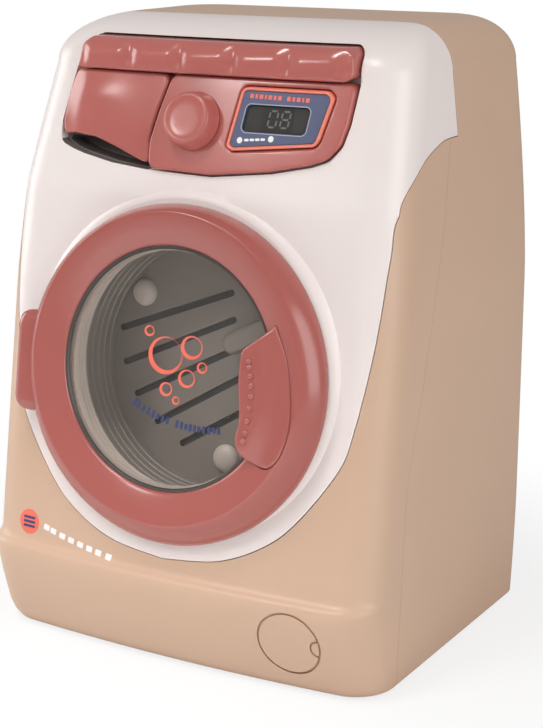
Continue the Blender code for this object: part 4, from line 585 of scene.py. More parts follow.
def moulded(name, tone, shade, rough, grain_mm, grain_depth, coat=0.0, flow_mm=55.0):
    """Injection-moulded plastic: slow drift of colour, uneven gloss and the skin of the mould."""
    material, tree, end, place = blank(name)
    drift = add_node(tree, "ShaderNodeTexNoise", {"Vector": place, "Scale": 1 / (flow_mm * MM),
                                                  "Detail": 3.0})
    tint = add_node(tree, "ShaderNodeValToRGB", {"Fac": drift.outputs["Fac"]})
    tint.color_ramp.elements[0].position = 0.3
    tint.color_ramp.elements[0].color = colour(shade)
    tint.color_ramp.elements[1].position = 0.72
    tint.color_ramp.elements[1].color = colour(tone)
    smear = add_node(tree, "ShaderNodeTexNoise", {"Vector": place, "Scale": 1 / (14 * MM), "Detail": 5.0,
                                                  "Roughness": 0.62})
    gloss = add_node(tree, "ShaderNodeMapRange", {"Value": smear.outputs["Fac"], "From Min": 0.3,
                                                  "From Max": 0.7, "To Min": rough - 0.012,
                                                  "To Max": rough + 0.018})
    grain = add_node(tree, "ShaderNodeTexNoise", {"Vector": place, "Scale": 1 / (grain_mm * MM),
                                                  "Detail": 2.0})
    bump = add_node(tree, "ShaderNodeBump", {"Height": grain.outputs["Fac"], "Strength": 0.12,
                                             "Distance": grain_depth * MM})
    shader = add_node(tree, "ShaderNodeBsdfPrincipled", {"Base Color": tint.outputs["Color"],
                                                         "Roughness": gloss.outputs["Result"],
                                                         "Normal": bump.outputs["Normal"], "IOR": 1.53,
                                                         "Coat Weight": coat, "Coat Roughness": 0.15})
    tree.links.new(shader.outputs["BSDF"], end.inputs["Surface"])
    return material


def clear_plastic(name, tone, alpha, rough, shine=0.5):
    """Thin clear polystyrene: a faint milky veil and moulding streaks."""
    material, tree, end, place = blank(name)
    streak = add_node(tree, "ShaderNodeTexNoise", {"Vector": place, "Scale": 1 / (30 * MM), "Detail": 2.0})
    veil = add_node(tree, "ShaderNodeMapRange", {"Value": streak.outputs["Fac"], "To Min": alpha * 0.7,
                                                 "To Max": alpha * 1.3})
    bump = add_node(tree, "ShaderNodeBump", {"Height": streak.outputs["Fac"], "Strength": 0.1,
                                             "Distance": 0.2 * MM})
    shader = add_node(tree, "ShaderNodeBsdfPrincipled", {"Base Color": colour(tone),
                                                         "Alpha": veil.outputs["Result"],
                                                         "Normal": bump.outputs["Normal"],
                                                         "Specular IOR Level": shine,
                                                         "Roughness": rough, "IOR": 1.59})
    tree.links.new(shader.outputs["BSDF"], end.inputs["Surface"])
    return material


def turned_metal(name, tone, rough):
    """Drawn or turned steel: fine scratches and spotted gloss."""
    material, tree, end, place = blank(name)
    scratch = add_node(tree, "ShaderNodeTexNoise", {"Vector": place, "Scale": 1 / (0.8 * MM), "Detail": 4.0})
    gloss = add_node(tree, "ShaderNodeMapRange", {"Value": scratch.outputs["Fac"], "To Min": rough * 0.7,
                                                  "To Max": rough * 1.4})
    bump = add_node(tree, "ShaderNodeBump", {"Height": scratch.outputs["Fac"], "Strength": 0.2,
                                             "Distance": 0.02 * MM})
    shader = add_node(tree, "ShaderNodeBsdfPrincipled", {"Base Color": colour(tone),
                                                         "Roughness": gloss.outputs["Result"],
                                                         "Normal": bump.outputs["Normal"], "Metallic": 1.0})
    tree.links.new(shader.outputs["BSDF"], end.inputs["Surface"])
    return material


# White gloss ABS: nearly smooth, with the soft highlight of a polished mould
white_abs = moulded("gloss_white_abs", "#EBE0DC", "#E8DDD9", 0.34, 0.9, 0.006)
# Painted shade inside the finger pocket: the white ABS there is painted dark grey, with a rougher gloss
pocket_painted_shade = moulded("painted_shade_pocket_abs", "#6E6662", "#665E5A", 0.6, 0.6, 0.03)
# Beige satin ABS: the spark-eroded skin scatters light and reads as satin
beige_abs = moulded("satin_beige_abs", "#CCAB92", "#C9A88F", 0.4, 0.5, 0.012)
# The rose ABS of the controls with painted shade, darker on the door ring and handle
door_rose_painted_shade = moulded("gloss_rose_abs_painted_darker", "#A95D55", "#A55952", 0.21, 0.9, 0.002, coat=0.1, flow_mm=120.0)
# Rose ABS of the controls: darker and glossier than the casing
rose_abs = moulded("gloss_rose_abs", "#B7665E", "#B3625A", 0.21, 0.9, 0.002, coat=0.1, flow_mm=120.0)
# Grey polypropylene of the drum: waxy and soft
grey_pp = moulded("grey_polypropylene", "#8E847B", "#887E75", 0.45, 0.7, 0.02)
# Painted shade on the floors and walls of the drum's slots, which stop short of the disc's back: it stands in
# for the dark space behind
slot_painted_shade = moulded("painted_shade_in_slots", "#45413D", "#3F3B38", 0.6, 0.7, 0.02)
# Light grey polypropylene of the mouth: catches the light along its ridges
light_pp = moulded("light_grey_polypropylene", "#CDBDB0", "#C6B6A9", 0.36, 0.7, 0.012)
# The drum's two bosses, in the same light grey
boss_pp = moulded("pale_boss_polypropylene", "#D8CBC0", "#D2C5BA", 0.36, 0.7, 0.012)
# Dark grey ring round the edge of the window
dark_window_edge = moulded("dark_window_lip", "#4A443F", "#433E3A", 0.4, 0.7, 0.01)
# Coral ABS: the saturated gloss trim round the display
coral_abs = moulded("gloss_coral_abs", "#F48A74", "#EF846E", 0.32, 0.9, 0.008)
# Pad-printed inks: flat, with a faint uneven edge of the pad
coral_ink = moulded("coral_pad_print", "#F0705C", "#EA6A56", 0.45, 0.4, 0.004, flow_mm=6.0)
navy_ink = moulded("navy_pad_print", "#34406E", "#2F3A66", 0.45, 0.4, 0.004, flow_mm=6.0)
pale_ink = moulded("pale_grey_pad_print", "#A9ABB8", "#A3A5B2", 0.45, 0.4, 0.004, flow_mm=6.0)
white_ink = moulded("white_pad_print", "#F4F0EE", "#EDE9E7", 0.45, 0.4, 0.004, flow_mm=6.0)
# Printed navy plate of the display: matt ink on ABS
navy_abs = moulded("navy_printed_abs", "#4C5374", "#474E6E", 0.4, 0.9, 0.008)
dark_pp = moulded("dark_polypropylene", "#2E2E30", "#28282A", 0.5, 0.7, 0.02)
acetal = moulded("natural_acetal", "#E2DFD6", "#D9D6CC", 0.34, 0.8, 0.01)
board_green = moulded("glass_epoxy_board", "#2E6B45", "#28603D", 0.45, 1.2, 0.03)
rubber = moulded("black_rubber", "#2A2928", "#242322", 0.75, 0.6, 0.05)
jacket = moulded("printed_cell_jacket", "#5A5B60", "#505156", 0.3, 1.0, 0.005)
steel = turned_metal("turned_steel", "#C9C8C6", 0.28)
# Liquid crystal glass: dark grey, with its switched segments a shade lighter
lcd_grey = moulded("display_glass_grey", "#4B4947", "#474543", 0.5, 1.5, 0.002)
lcd_dark = moulded("display_dark_field", "#353432", "#32312F", 0.5, 1.5, 0.002)
lcd_segment = moulded("display_segments", "#86847E", "#807E78", 0.5, 1.5, 0.002)
window_clear = clear_plastic("clear_polystyrene", "#C9C4BE", 0.03, 0.08)
glass_clear = clear_plastic("clear_display_cover", "#3A3835", 0.2, 0.3, 0.08)

by_node = {
    "rear_shell": beige_abs, "front_shell": beige_abs, "front_panel": white_abs, "control_panel": rose_abs,
    "button_strip": rose_abs, "knob": rose_abs, "rotary_switch": dark_pp, "main_board": board_green,
    "lcd_module": lcd_grey, "display_bezel": coral_abs, "display_plate": navy_abs,
    "display_glass": glass_clear, "drawer": rose_abs, "drawer_housing": white_abs, "door_ring": door_rose_painted_shade,
    "door_handle": door_rose_painted_shade, "door_window": window_clear, "window_retainer": light_pp,
    "door_hinge_pin": steel, "drum_mouth_ring": light_pp, "tub": grey_pp, "drum": grey_pp,
    "drum_bush": acetal, "drum_shaft": steel, "drum_gear": acetal, "idler_gear": acetal,
    "idler_axle": steel, "motor_pinion": acetal, "motor_shaft": steel, "motor": steel,
    "gearbox_housing": white_abs, "gearbox_cover": white_abs, "battery_box": dark_pp,
    "battery_cell_1": jacket, "battery_cell_2": jacket, "battery_cell_3": jacket,
    "contact_spring_1": steel, "contact_spring_2": steel, "contact_spring_3": steel,
    "contact_plate_1": steel, "contact_plate_2": steel, "contact_plate_3": steel,
    "battery_door": beige_abs, "battery_door_screw": steel, "speaker": dark_pp,
    "case_screw_1": steel, "case_screw_2": steel, "case_screw_3": steel, "case_screw_4": steel,
    "foot_1": rubber, "foot_2": rubber, "foot_3": rubber, "foot_4": rubber,
}
for name, finish in by_node.items():
    for place_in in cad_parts[name].material_slots:
        place_in.material = finish


def dress(piece, material, body, slot, *nodes):
    """Gives a piece its finish and its body, and hides the nodes it stands for."""
    piece.data.materials.clear()
    piece.data.materials.append(material)
    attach(piece, body)
    if nodes:
        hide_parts(*nodes)
    return piece


def second_finish(piece, material, chosen):
    """Gives some faces, chosen by their middle and normal, another finish."""
    piece.data.materials.append(material)
    for part in piece.data.polygons:
        if chosen(part.center, part.normal):
            part.material_index = len(piece.data.materials) - 1
    return piece


# Casing shells

def ring_outline(x, z, radius, steps=ROUND):
    turn = 2 * math.pi / steps
    return [(x + radius * math.cos(turn * k), z + radius * math.sin(turn * k)) for k in range(steps)]


def foot_seats(shell, y):
    for side in (-1, 1):
        place = Matrix.Translation((side * (WIDTH / 2 - 20 * MM), y, 0))
        carve(shell, rod("foot_seat", 6.35 * MM, -WALL, 2 * MM, 32, place))


def screw_places():
    high = TRAY_LOW_Z + 22 * MM
    return ((-70 * MM, 26 * MM), (70 * MM, 26 * MM), (-58 * MM, high), (58 * MM, high))


def build_rear_shell():
    shell = skin("rear_shell_skin", 0, WALL)
    places = [Matrix.Translation((x, 0, z)) @ Matrix.Rotation(math.pi / 2, 4, "X") for x, z in screw_places()]
    for place in places:
        carve(shell, rod("boss", 4.6 * MM, -REAR + WALL / 2, -REAR + 14 * MM, 32, place), "UNION")
    for place in places:
        carve(shell, rod("seat", 3.15 * MM, -REAR - OVER, -REAR + 6 * MM, 32, place))
        carve(shell, rod("bore", 1.75 * MM, -REAR - OVER, -REAR + 14 * MM + OVER, 24, place))
    carve(shell, prism("seam", half_outline(0.07 * MM), "X", -WIDTH, WIDTH))
    for k in range(5):
        rise = (k - 2) * 4.4 * MM
        half = math.sqrt((11.2 * MM) ** 2 - rise ** 2)
        level = HEIGHT * 0.625 + rise
        tip = 0.9 * MM
        bar = pill((-half + tip, level), (half - tip, level), tip)
        carve(shell, prism("grille_slot", bar, "Y", REAR - WALL - GAP / 2, REAR + OVER))
    low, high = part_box("battery_door")
    carve(shell, block("battery_opening", (low[0] - GAP, REAR - WALL - GAP / 2, low[2] - GAP),
                       (high[0] + GAP, REAR + OVER, high[2] + GAP)))
    foot_seats(shell, REAR - 20 * MM)
    polish(shell)
    return dress(shell, beige_abs, "casing", "beige_shell", "rear_shell")


def build_front_shell():
    """Plinth and side columns, with the moulded ring and half-moon on the plinth."""
    shell = skin("front_shell_skin", 0, WALL)
    carve(shell, prism("seam", half_outline(-0.07 * MM), "X", -WIDTH, WIDTH), "INTERSECT")
    carve(shell, panel_tools("panel_region", GAP / 2))
    spot = (54.8 * MM, 21.6 * MM)
    groove = front_layer("groove", ring_outline(*spot, 12.9 * MM), -OVER, 0.8 * MM)
    carve(groove, prism("disc", ring_outline(*spot, 12.0 * MM), "Y", FRONT - DEPTH, FRONT + DEPTH))
    carve(shell, groove)
    arc = [math.pi / 2 + math.pi * k / 20 for k in range(21)]
    bow_out = [(3.6 * math.cos(a), 3.6 * math.sin(a)) for a in arc]
    bow_in = [(2.8 * math.cos(a), 2.8 * math.sin(a)) for a in arc[::-1]]
    notch = [(spot[0] + (12.0 + x) * MM, spot[1] + z * MM) for x, z in [*bow_out, *bow_in]]
    carve(shell, front_layer("notch", notch, -OVER, 0.8 * MM))
    foot_seats(shell, FRONT + 11.5 * MM)
    polish(shell)
    return dress(shell, beige_abs, "casing", "beige_shell", "front_shell")


def build_front_panel():
    """White panel: the skin, the control pan, the door's collar and the finger pocket."""
    panel = skin("front_panel_skin", 0, WALL)
    hollow = rounded(from_front(recess), 6 * MM)
    carve(panel, front_layer("pan", offset(from_front(recess), 1.8 * MM), WALL / 3, RECESS + RECESS_FLOOR),
          "UNION")
    flank = [(DOOR_RADIUS - 1.6 * MM, 0.6 * MM), (DOOR_RADIUS - 0.4 * MM, 0.5 * MM),
             (DOOR_RADIUS + 1.0 * MM, 0.15 * MM), (DOOR_RADIUS + 2.4 * MM, -0.6 * MM),
             (DOOR_RADIUS + 3.6 * MM, -1.7 * MM), (DOOR_RADIUS + 4.4 * MM, -3.0 * MM)]
    flank = [(p.x, p.y) for p in curve_through(flank, 3)]
    carve(panel, rod("collar", DOOR_RADIUS - 0.6 * MM, -5.8 * MM, 0.6 * MM, ROUND, face), "UNION")
    sill = -5.7 * MM
    well = DOOR_RADIUS - 8 * MM
    soft = spun("collar_flank", [*flank, (DOOR_RADIUS + 4.4 * MM, sill), (well, sill), (well, 0.5 * MM)],
                ROUND, face)
    carve(soft, block("hinge_room", (-DOOR_RADIUS - 12 * MM, -HINGE_DROP - 31 * MM, -OVER),
                      (-DOOR_RADIUS * 0.7, -HINGE_DROP + 31 * MM, OVER), face))
    carve(panel, soft, "UNION")
    carve(panel, panel_tools("panel_region", -GAP / 2), "INTERSECT")
    carve(panel, rod("opening", COLLAR, -DOOR_RADIUS, DOOR_RADIUS, ROUND, face))
    pocket = from_front(pocket_form)
    wall = front_layer("pocket_wall", offset(pocket, 1.8 * MM), RECESS + RECESS_FLOOR / 2,
                       POCKET + RECESS_FLOOR)
    carve(panel, wall, "UNION")
    carve(panel, front_layer("hollow", hollow, -OVER, RECESS))
    carve(panel, front_layer("pocket", rounded(pocket, 3 * MM), RECESS / 2, POCKET))
    axis = face @ Matrix.Translation((-HINGE_X, -HINGE_DROP, HINGE_STAND))
    along = axis @ Matrix.Rotation(-math.pi / 2, 4, "X")
    half = LUG_HALF - LUG_END - GAP
    carve(panel, rod("knuckle", KNUCKLE, -half, half, 32, along), "UNION")
    stem_foot = (-1.6 * MM, -half * 0.9, -HINGE_STAND - 2.6 * MM - WALL)
    stem = block("stem", stem_foot, (1.6 * MM, half * 0.9, 0), axis)
    carve(panel, stem, "UNION")
    carve(panel, rod("hinge_bore", PIN_BORE, -39 * MM, 39 * MM, 24, along))
    carve(panel, block("latch_slot", (LATCH_X - LATCH_THICK - GAP, -DOOR_DROP - LATCH_HALF - GAP, -OVER),
                       (LATCH_X + GAP * 2, -DOOR_DROP + LATCH_HALF + GAP, OVER), face))
    carve(panel, rod("knob_hole", KNOB_STEM + GAP * 2, -2 * OVER, 2 * OVER, 32, brow, (KNOB_X, 0)))
    carve(panel, prism("display_hole", offset(from_front(glass_form), GAP), "Y", FRONT - DEPTH,
                       front_at(CONTROL_Z) + 2 * OVER))
    low = (TRAY_LOW[0] - 0.5 * MM, FRONT - DEPTH, TRAY_LOW[1] - 0.5 * MM)
    high = (TRAY_LOW[0] + TRAY_SIZE[0] + 0.5 * MM, 20 * MM, TRAY_LOW[1] + TRAY_SIZE[2] + 0.5 * MM)
    carve(panel, block("tray_hole", low, high))
    polish(panel)
    dress(panel, white_abs, "casing", "white_panel", "front_panel")

    # Faces deep inside the finger pocket take the painted shade
    def in_shaded_pocket(p, n):
        inside = -0.73 * WIDTH / 2 < p.x < -0.24 * WIDTH / 2 and 0.77 * HEIGHT < p.z < 0.83 * HEIGHT
        return inside and p.y > skin_y(p.x, p.z, 0) + 1.2 * MM

    return second_finish(panel, pocket_painted_shade, in_shaded_pocket)


# Controls

def soft_step(t):
    t = min(max(t, 0), 1)
    return t * t * (3 - 2 * t)


def pillow_form(p):
    """Five pillow-shaped swellings along the strip, with shallow valleys between them."""
    pitch = WIDTH * (0.655 + 0.662) / 2 / 5
    valley = 1.5 * MM
    deep = valley
    for k in range(5):
        u = (p.x - (k - 2) * pitch) / (pitch * 0.5)
        w = (p.z - 227.3 * MM) / (5.6 * MM) - 0.14 * u
        if abs(u) < 1 and abs(w) < 1:
            deep -= valley * soft_step((1 - abs(u) ** 2.2) * 1.25) * (1 - abs(w) ** 1.8)
    return deep - 0.3 * MM


def drawer_form_lift(p):
    """The drawer's front swells to the upper left and falls back towards its lower edge."""
    u = (p.x + 50 * MM) / (13 * MM)
    w = (p.z - 212.5 * MM) / (9 * MM)
    swell = 1.9 * MM * math.exp(-(u * u + w * w))
    fall = 1.8 * MM * soft_step((203 * MM - p.z) / (13 * MM))
    fall += 1.6 * MM * soft_step((-52 * MM - p.x) / (12 * MM))
    return fall - swell


def build_controls():
    back = RECESS - GAP
    display = shaped(display_form, 3.2 * MM)
    glass = shaped(glass_form, 2.0 * MM)
    knob_hole = ring_outline(KNOB_X, CONTROL_Z, KNOB_STEM + GAP, 32)
    panel = face_plate("control_panel_skin", rounded(from_front(panel_form), 4 * MM), PROUD, back, 0.9 * MM,
                       holes=(shaped(display_form, 3.4 * MM, GAP), knob_hole))
    polish(panel)
    dress(panel, rose_abs, "casing", "rose_trim", "control_panel")
    inner = shaped(display_form, 2.0 * MM, -1.2 * MM)
    bezel = face_plate("display_trim", display, BEZEL_PROUD, SINK, 0.7 * MM, holes=(inner,))
    polish(bezel)
    dress(bezel, coral_abs, "casing", "coral_trim", "display_bezel")
    plate = face_plate("display_face", shaped(display_form, 2.0 * MM, -1.2 * MM - GAP / 4),
                       BEZEL_PROUD - 0.5 * MM, SINK, 0.15 * MM, holes=(glass,))
    polish(plate)
    dress(plate, navy_abs, "casing", "navy_plate", "display_plate")
    cover = face_plate("display_cover", shaped(glass_form, 1.9 * MM, -GAP / 4), BEZEL_PROUD - 0.6 * MM,
                       -BEZEL_PROUD + 1.4 * MM, 0.2 * MM)
    polish(cover)
    dress(cover, glass_clear, "casing", "clear_window", "display_glass")
    strip = face_plate("button_strip_skin", rounded(from_front(strip_form), 3 * MM), STRIP_PROUD, back,
                       1.1 * MM, pitch=0.9 * MM, form=pillow_form)
    polish(strip)
    dress(strip, rose_abs, "casing", "rose_trim", "button_strip")


def build_knob():
    """Programme knob: eased cap with a dished face, on the stem that turns the switch."""
    foot = PROUD + GAP * 2
    top = foot + KNOB_HEIGHT
    stem = -RECESS - RECESS_FLOOR - GAP * 4 - 2.5 * MM
    face_dish = [(0, top - 0.5 * MM), (4.0 * MM, top - 0.48 * MM), (6.2 * MM, top - 0.4 * MM),
                 (7.4 * MM, top - 0.2 * MM), (8.1 * MM, top - 0.02 * MM), (8.5 * MM, top)]
    side = [(8.9 * MM, top - 0.08 * MM), (9.3 * MM, top - 0.35 * MM), (9.6 * MM, top - 0.9 * MM),
            (10.1 * MM, top - 2.4 * MM), (10.7 * MM, foot + 1.4 * MM), (11.0 * MM, foot + 0.4 * MM)]
    profile = [*curve_through(face_dish, 3), *curve_through(side, 3), (10.9 * MM, foot), (KNOB_STEM, foot),
               (KNOB_STEM, stem), (0, stem)]
    knob = spun("knob_cap", profile, ROUND, brow @ Matrix.Translation((KNOB_X, 0, 0)))
    polish(knob, 50)
    return dress(knob, rose_abs, "knob", "rose_trim", "knob")


def build_drawer():
    """Drawer front that swells like a cushion, moulded with its open tray."""
    front = face_plate("drawer_front", rounded(from_front(drawer_form), 3.5 * MM), PROUD, RECESS - GAP,
                       1.1 * MM, pitch=1.8 * MM, form=drawer_form_lift)
    start = front_at(TRAY_LOW_Z + TRAY_SIZE[2] / 2)
    low = (TRAY_LOW[0], start, TRAY_LOW_Z)
    high = (TRAY_LOW[0] + TRAY_SIZE[0], start + TRAY_SIZE[1] + RECESS, TRAY_LOW_Z + TRAY_SIZE[2])
    wall = 1.5 * MM
    tray = block("tray", (low[0], low[1] + RECESS / 2, low[2]), high)
    carve(tray, block("tray_hollow", (low[0] + wall, low[1] + RECESS + wall * 2, low[2] + wall),
                      (high[0] - wall, high[1] - wall, high[2] + OVER)))
    ease(tray, 0.3 * MM, 2)
    drawer = merged("drawer_front", [front, tray])
    polish(drawer)
    return dress(drawer, rose_abs, "drawer", "rose_trim", "drawer")


# Door

crown_points = ((0, 6.7 * MM), (0.4 * MM, 7.4 * MM), (1.4 * MM, 8.0 * MM), (4.2 * MM, 9.0 * MM),
                (6.6 * MM, 9.75 * MM), (9.2 * MM, 10.35 * MM), (11.2 * MM, 10.7 * MM),
                (12.2 * MM, 10.75 * MM))


def door_section(angle):
    """Points of the ring's section in one direction, from the window's seat over the crown to the rim."""
    way = Vector((math.cos(angle), math.sin(angle)))
    rim = Vector((way.x * (DOOR_RADIUS + DOOR_REACH), way.y * DOOR_RADIUS - DOOR_DROP))
    seat = WINDOW + GAP
    step = 6.25 * MM
    points = [(way * seat, DOOR_BACK), (way * seat, step), (way * SIGHT, step)]
    inner = [(SIGHT + reach, height) for reach, height in crown_points]
    points += [(way * p.x, p.y) for p in curve_through(inner, 3)]
    crease_at = way * (SIGHT + 12.6 * MM)
    skirt = [(0, 10.65 * MM), (0.12, 10.2 * MM), (0.34, 9.1 * MM), (0.58, 7.5 * MM), (0.8, 5.6 * MM),
             (0.94, 3.9 * MM), (1.0, 2.6 * MM)]
    points += [(crease_at.lerp(rim, p.x), p.y) for p in curve_through(skirt, 3)]
    points.append((rim, DOOR_BACK))
    return [face @ Vector((p.x, p.y, h)) for p, h in points]


def grip_outline():
    """The grip's outline on the face."""
    corners = [(DOOR_RADIUS * x, DOOR_RADIUS * y) for x, y in [*handle_form, handle_form[0]]]
    return curve_through(corners, 4)[:-1]


def stacked(outline, levels, place=None):
    """Sections of an outline at each height, moved inwards by the inset given there."""
    place = place or Matrix()
    return [[place @ Vector((x, y, h)) for x, y in offset(outline, -inset)] for h, inset in levels]


def build_door_ring():
    """Ring that slopes from its crown to the window, wider below, with a hollow lug and a latch hook."""
    ring = hoop("door_frame", [door_section(2 * math.pi * k / 128) for k in range(128)])
    half = LUG_HALF
    top = HINGE_STAND + KNUCKLE + GAP * 2 + LUG_WALL
    left = -HINGE_X - 3.6 * MM
    right = -DOOR_RADIUS + 9 * MM
    outline = [(right, -half), (left, -half), (left, half), (right, half)]
    outline = rounded([(x, y - HINGE_DROP) for x, y in outline], 7.5 * MM, 10)
    levels = [(DOOR_BACK, 0), (top - 3.0 * MM, 0), (top - 2.2 * MM, 0.25 * MM), (top - 1.4 * MM, 0.8 * MM),
              (top - 0.75 * MM, 1.6 * MM), (top - 0.25 * MM, 2.7 * MM), (top, 4.4 * MM)]
    lug = loft("lug", stacked(outline, levels, face))
    carve(ring, lug, "UNION")
    inner = half - LUG_END
    axis_gap = KNUCKLE + GAP * 3
    carve(ring, block("lug_hollow", (left - OVER, -HINGE_DROP - inner, DOOR_BACK - OVER),
                      (-HINGE_X + axis_gap, -HINGE_DROP + inner, top - LUG_WALL), face))
    along = (face @ Matrix.Translation((-HINGE_X, -HINGE_DROP, HINGE_STAND))
             @ Matrix.Rotation(-math.pi / 2, 4, "X"))
    carve(ring, rod("lug_bore", PIN_BORE, -half, half, 24, along))
    carve(ring, block("latch_hook", (LATCH_X - LATCH_THICK, -DOOR_DROP - LATCH_HALF, DOOR_BACK - 5.6 * MM),
                      (LATCH_X, -DOOR_DROP + LATCH_HALF, DOOR_BACK * 2), face), "UNION")
    grip = grip_outline()
    carve(ring, prism("handle_seat", offset(grip, 0.04 * MM), "Z", 8.55 * MM, 30 * MM, face))
    polish(ring, 40)
    return dress(ring, door_rose_painted_shade, "door", "rose_trim", "door_ring")


def crown_height(reach):
    """Height of the ring's crown at a reach beyond the window's edge."""
    if reach <= crown_points[0][0]:
        return crown_points[0][1]
    for (a, low), (b, high) in zip(crown_points, crown_points[1:]):
        if reach <= b:
            return low + (high - low) * (reach - a) / (b - a)
    return crown_points[-1][1]


def build_handle():
    """Grip cap over the right of the window, with a row of nubs along its finger edge."""
    grip = grip_outline()
    levels = [(8.9 * MM, 0), (11.2 * MM, 0), (11.9 * MM, 0.12 * MM), (12.35 * MM, 0.4 * MM),
              (12.65 * MM, 0.85 * MM), (12.8 * MM, 1.5 * MM)]
    cap = loft("handle_cap", stacked(grip, levels))
    slice_up(cap, 0, 32 * MM, 57 * MM, 1.2 * MM)
    slice_up(cap, 1, -30 * MM, 23 * MM, 2.5 * MM)
    nubs = []
    row = curve_through([(38.0 * MM, 8.3 * MM), (40.0 * MM, -4 * MM), (38.2 * MM, -20.5 * MM)], 4)
    for p in row:
        profile = [(0, 12.0 * MM), (1.25 * MM, 12.0 * MM), (1.2 * MM, 13.0 * MM), (0.95 * MM, 13.4 * MM),
                   (0.5 * MM, 13.65 * MM), (0, 13.7 * MM)]
        nubs.append(spun("nub", profile, 16, Matrix.Translation((p.x, p.y, 0))))
    cap = merged("handle_cap", [cap, *nubs])

    def settle(p):
        if p.z < 10 * MM:
            return face @ p
        reach = math.hypot(p.x, p.y) - SIGHT
        ring = crown_height(reach) + 0.12 * MM
        share = soft_step((reach + 2 * MM) / (13 * MM))
        goal = 12.3 * MM * (1 - share) + ring * share
        return face @ Vector((p.x, p.y, p.z - 12.8 * MM + goal))

    reshape(cap, settle)
    polish(cap, 50)
    return dress(cap, door_rose_painted_shade, "door", "rose_trim", "door_handle")


def window_height(r):
    """Height of the window's front surface at a radius."""
    return 5.9 * MM + 1.4 * MM * max(1 - (r / (SIGHT * 0.94)) ** 2, 0)


def build_window():
    """Domed clear window with a dark lip."""
    radii = [SIGHT * 0.94 * k / 8 for k in range(9)]
    front = [(r, window_height(r)) for r in radii]
    back = [(r, h - 2.0 * MM) for r, h in front]
    profile = [*front, (WINDOW, 5.9 * MM), (WINDOW, 3.9 * MM), *back[::-1]]
    window = spun("window_pane", profile, ROUND, face)
    polish(window)
    dress(window, window_clear, "door", "clear_window", "door_window")
    lip = spun("window_lip", [(SIGHT - 1.3 * MM, 5.95 * MM), (SIGHT - 1.1 * MM, 6.5 * MM),
                              (SIGHT - 0.7 * MM, 6.9 * MM), (SIGHT - 0.05 * MM, 6.9 * MM),
                              (SIGHT - 0.05 * MM, 5.95 * MM)], ROUND, face)
    polish(lip)
    dress(lip, dark_window_edge, "door", "dark_plastic")


def printed(name, outline, inner=None):
    """A flat print laid on the window's curved front, solid or with a hole."""
    if inner is None:
        rings = [[(x, y, 0) for x, y in outline], [(x, y, 0.12 * MM) for x, y in outline]]
        piece = loft(name, rings)
    else:
        count = len(outline)
        sections = [[(*inner[k], 0), (*outline[k], 0), (*outline[k], 0.12 * MM), (*inner[k], 0.12 * MM)]
                    for k in range(count)]
        piece = hoop(name, sections)

    def lay(p):
        return face @ Vector((p.x, p.y, p.z + window_height(math.hypot(p.x, p.y)) + 0.02 * MM))

    return reshape(piece, lay)


def oval(x, y, wide, high, steps=48):
    turn = 2 * math.pi / steps
    return [(x + wide * math.cos(turn * k), y + high * math.sin(turn * k)) for k in range(steps)]


def build_window_print():
    """Bubbles and a curved row of dashes on the window."""
    bubbles = []
    for x, y, r, thick in ((-0.5, 5.2, 7.4, 1.0), (10.6, 9.4, 4.6, 0.9), (9.4, -2.2, 3.6, 0.8),
                           (0.8, -7.2, 2.8, 0.8), (15.6, 2.6, 2.2, 0.7), (5.4, -10.8, 1.7, 0.6),
                           (-8.2, 13.4, 2.2, 0.7)):
        outer = oval(x * MM, y * MM, r * MM, r * MM * 0.94)
        inner = oval((x + 0.1 * r) * MM, (y + 0.08 * r) * MM, (r - thick) * MM, (r * 0.94 - thick) * MM)
        bubbles.append(printed("bubble", outer, inner))
    prints = merged("window_bubbles", bubbles)
    dress(prints, coral_ink, "door", "coral_trim")
    dashes = []
    arc = curve_through([(-14.0, -13.2), (-4, -17.2), (6.5, -19.4), (16, -20.0), (25.5, -19.2)], 5)
    for k in range(1, len(arc) - 1):
        if k == 9:
            continue
        way = (arc[k + 1] - arc[k - 1]).normalized()
        tall = 0.9 if k % 3 else 0.6
        side = Vector((-way.y, way.x)) * tall
        dashes.append(printed("dash", pill((arc[k] - side) * MM, (arc[k] + side) * MM, 0.6 * MM, 6)))
    marks = merged("window_dashes", dashes)
    dress(marks, navy_ink, "door", "navy_plate")


# Drum

def build_mouth_ring():
    """Light grey ring that lines the opening, with moulded ridges round its inside."""
    outer = COLLAR - GAP
    top = 0.25 * MM
    flange = -5.8 * MM - GAP
    ridges = []
    for k in range(6):
        h = top - (top + 8.6 * MM) * k / 6
        reach = outer - 1.4 * MM - 0.36 * MM * k
        ridges += [(reach, h), (reach - 0.35 * MM, h - 0.35 * MM), (reach - 0.35 * MM, h - 0.75 * MM),
                   (reach, h - 1.05 * MM)]
    under = flange - 2.4 * MM
    brim = COLLAR + 2.4 * MM
    profile = [*ridges, (outer - 3.2 * MM, -8.6 * MM), (outer, -8.6 * MM), (outer, under), (brim, under),
               (brim, flange), (outer, flange), (outer, top)]
    ring = spun("mouth_ring", profile, ROUND, face)
    polish(ring, 50)
    return dress(ring, light_pp, "casing", "light_grey", "drum_mouth_ring")


boss_spots = ((-0.72, 0.5), (0.17, -0.76))
# Ends of the disc's five slots, in mm right of and above the axis
slot_ends = ((-43.5, 8.7, 4.9, 27.6), (-40.9, -4.6, 6.7, 17.4), (-34.7, -16.5, 7.7, 6.0),
             (-24.4, -26.2, 11.8, -4.2), (-12.1, -33.1, 12.9, -17.6))


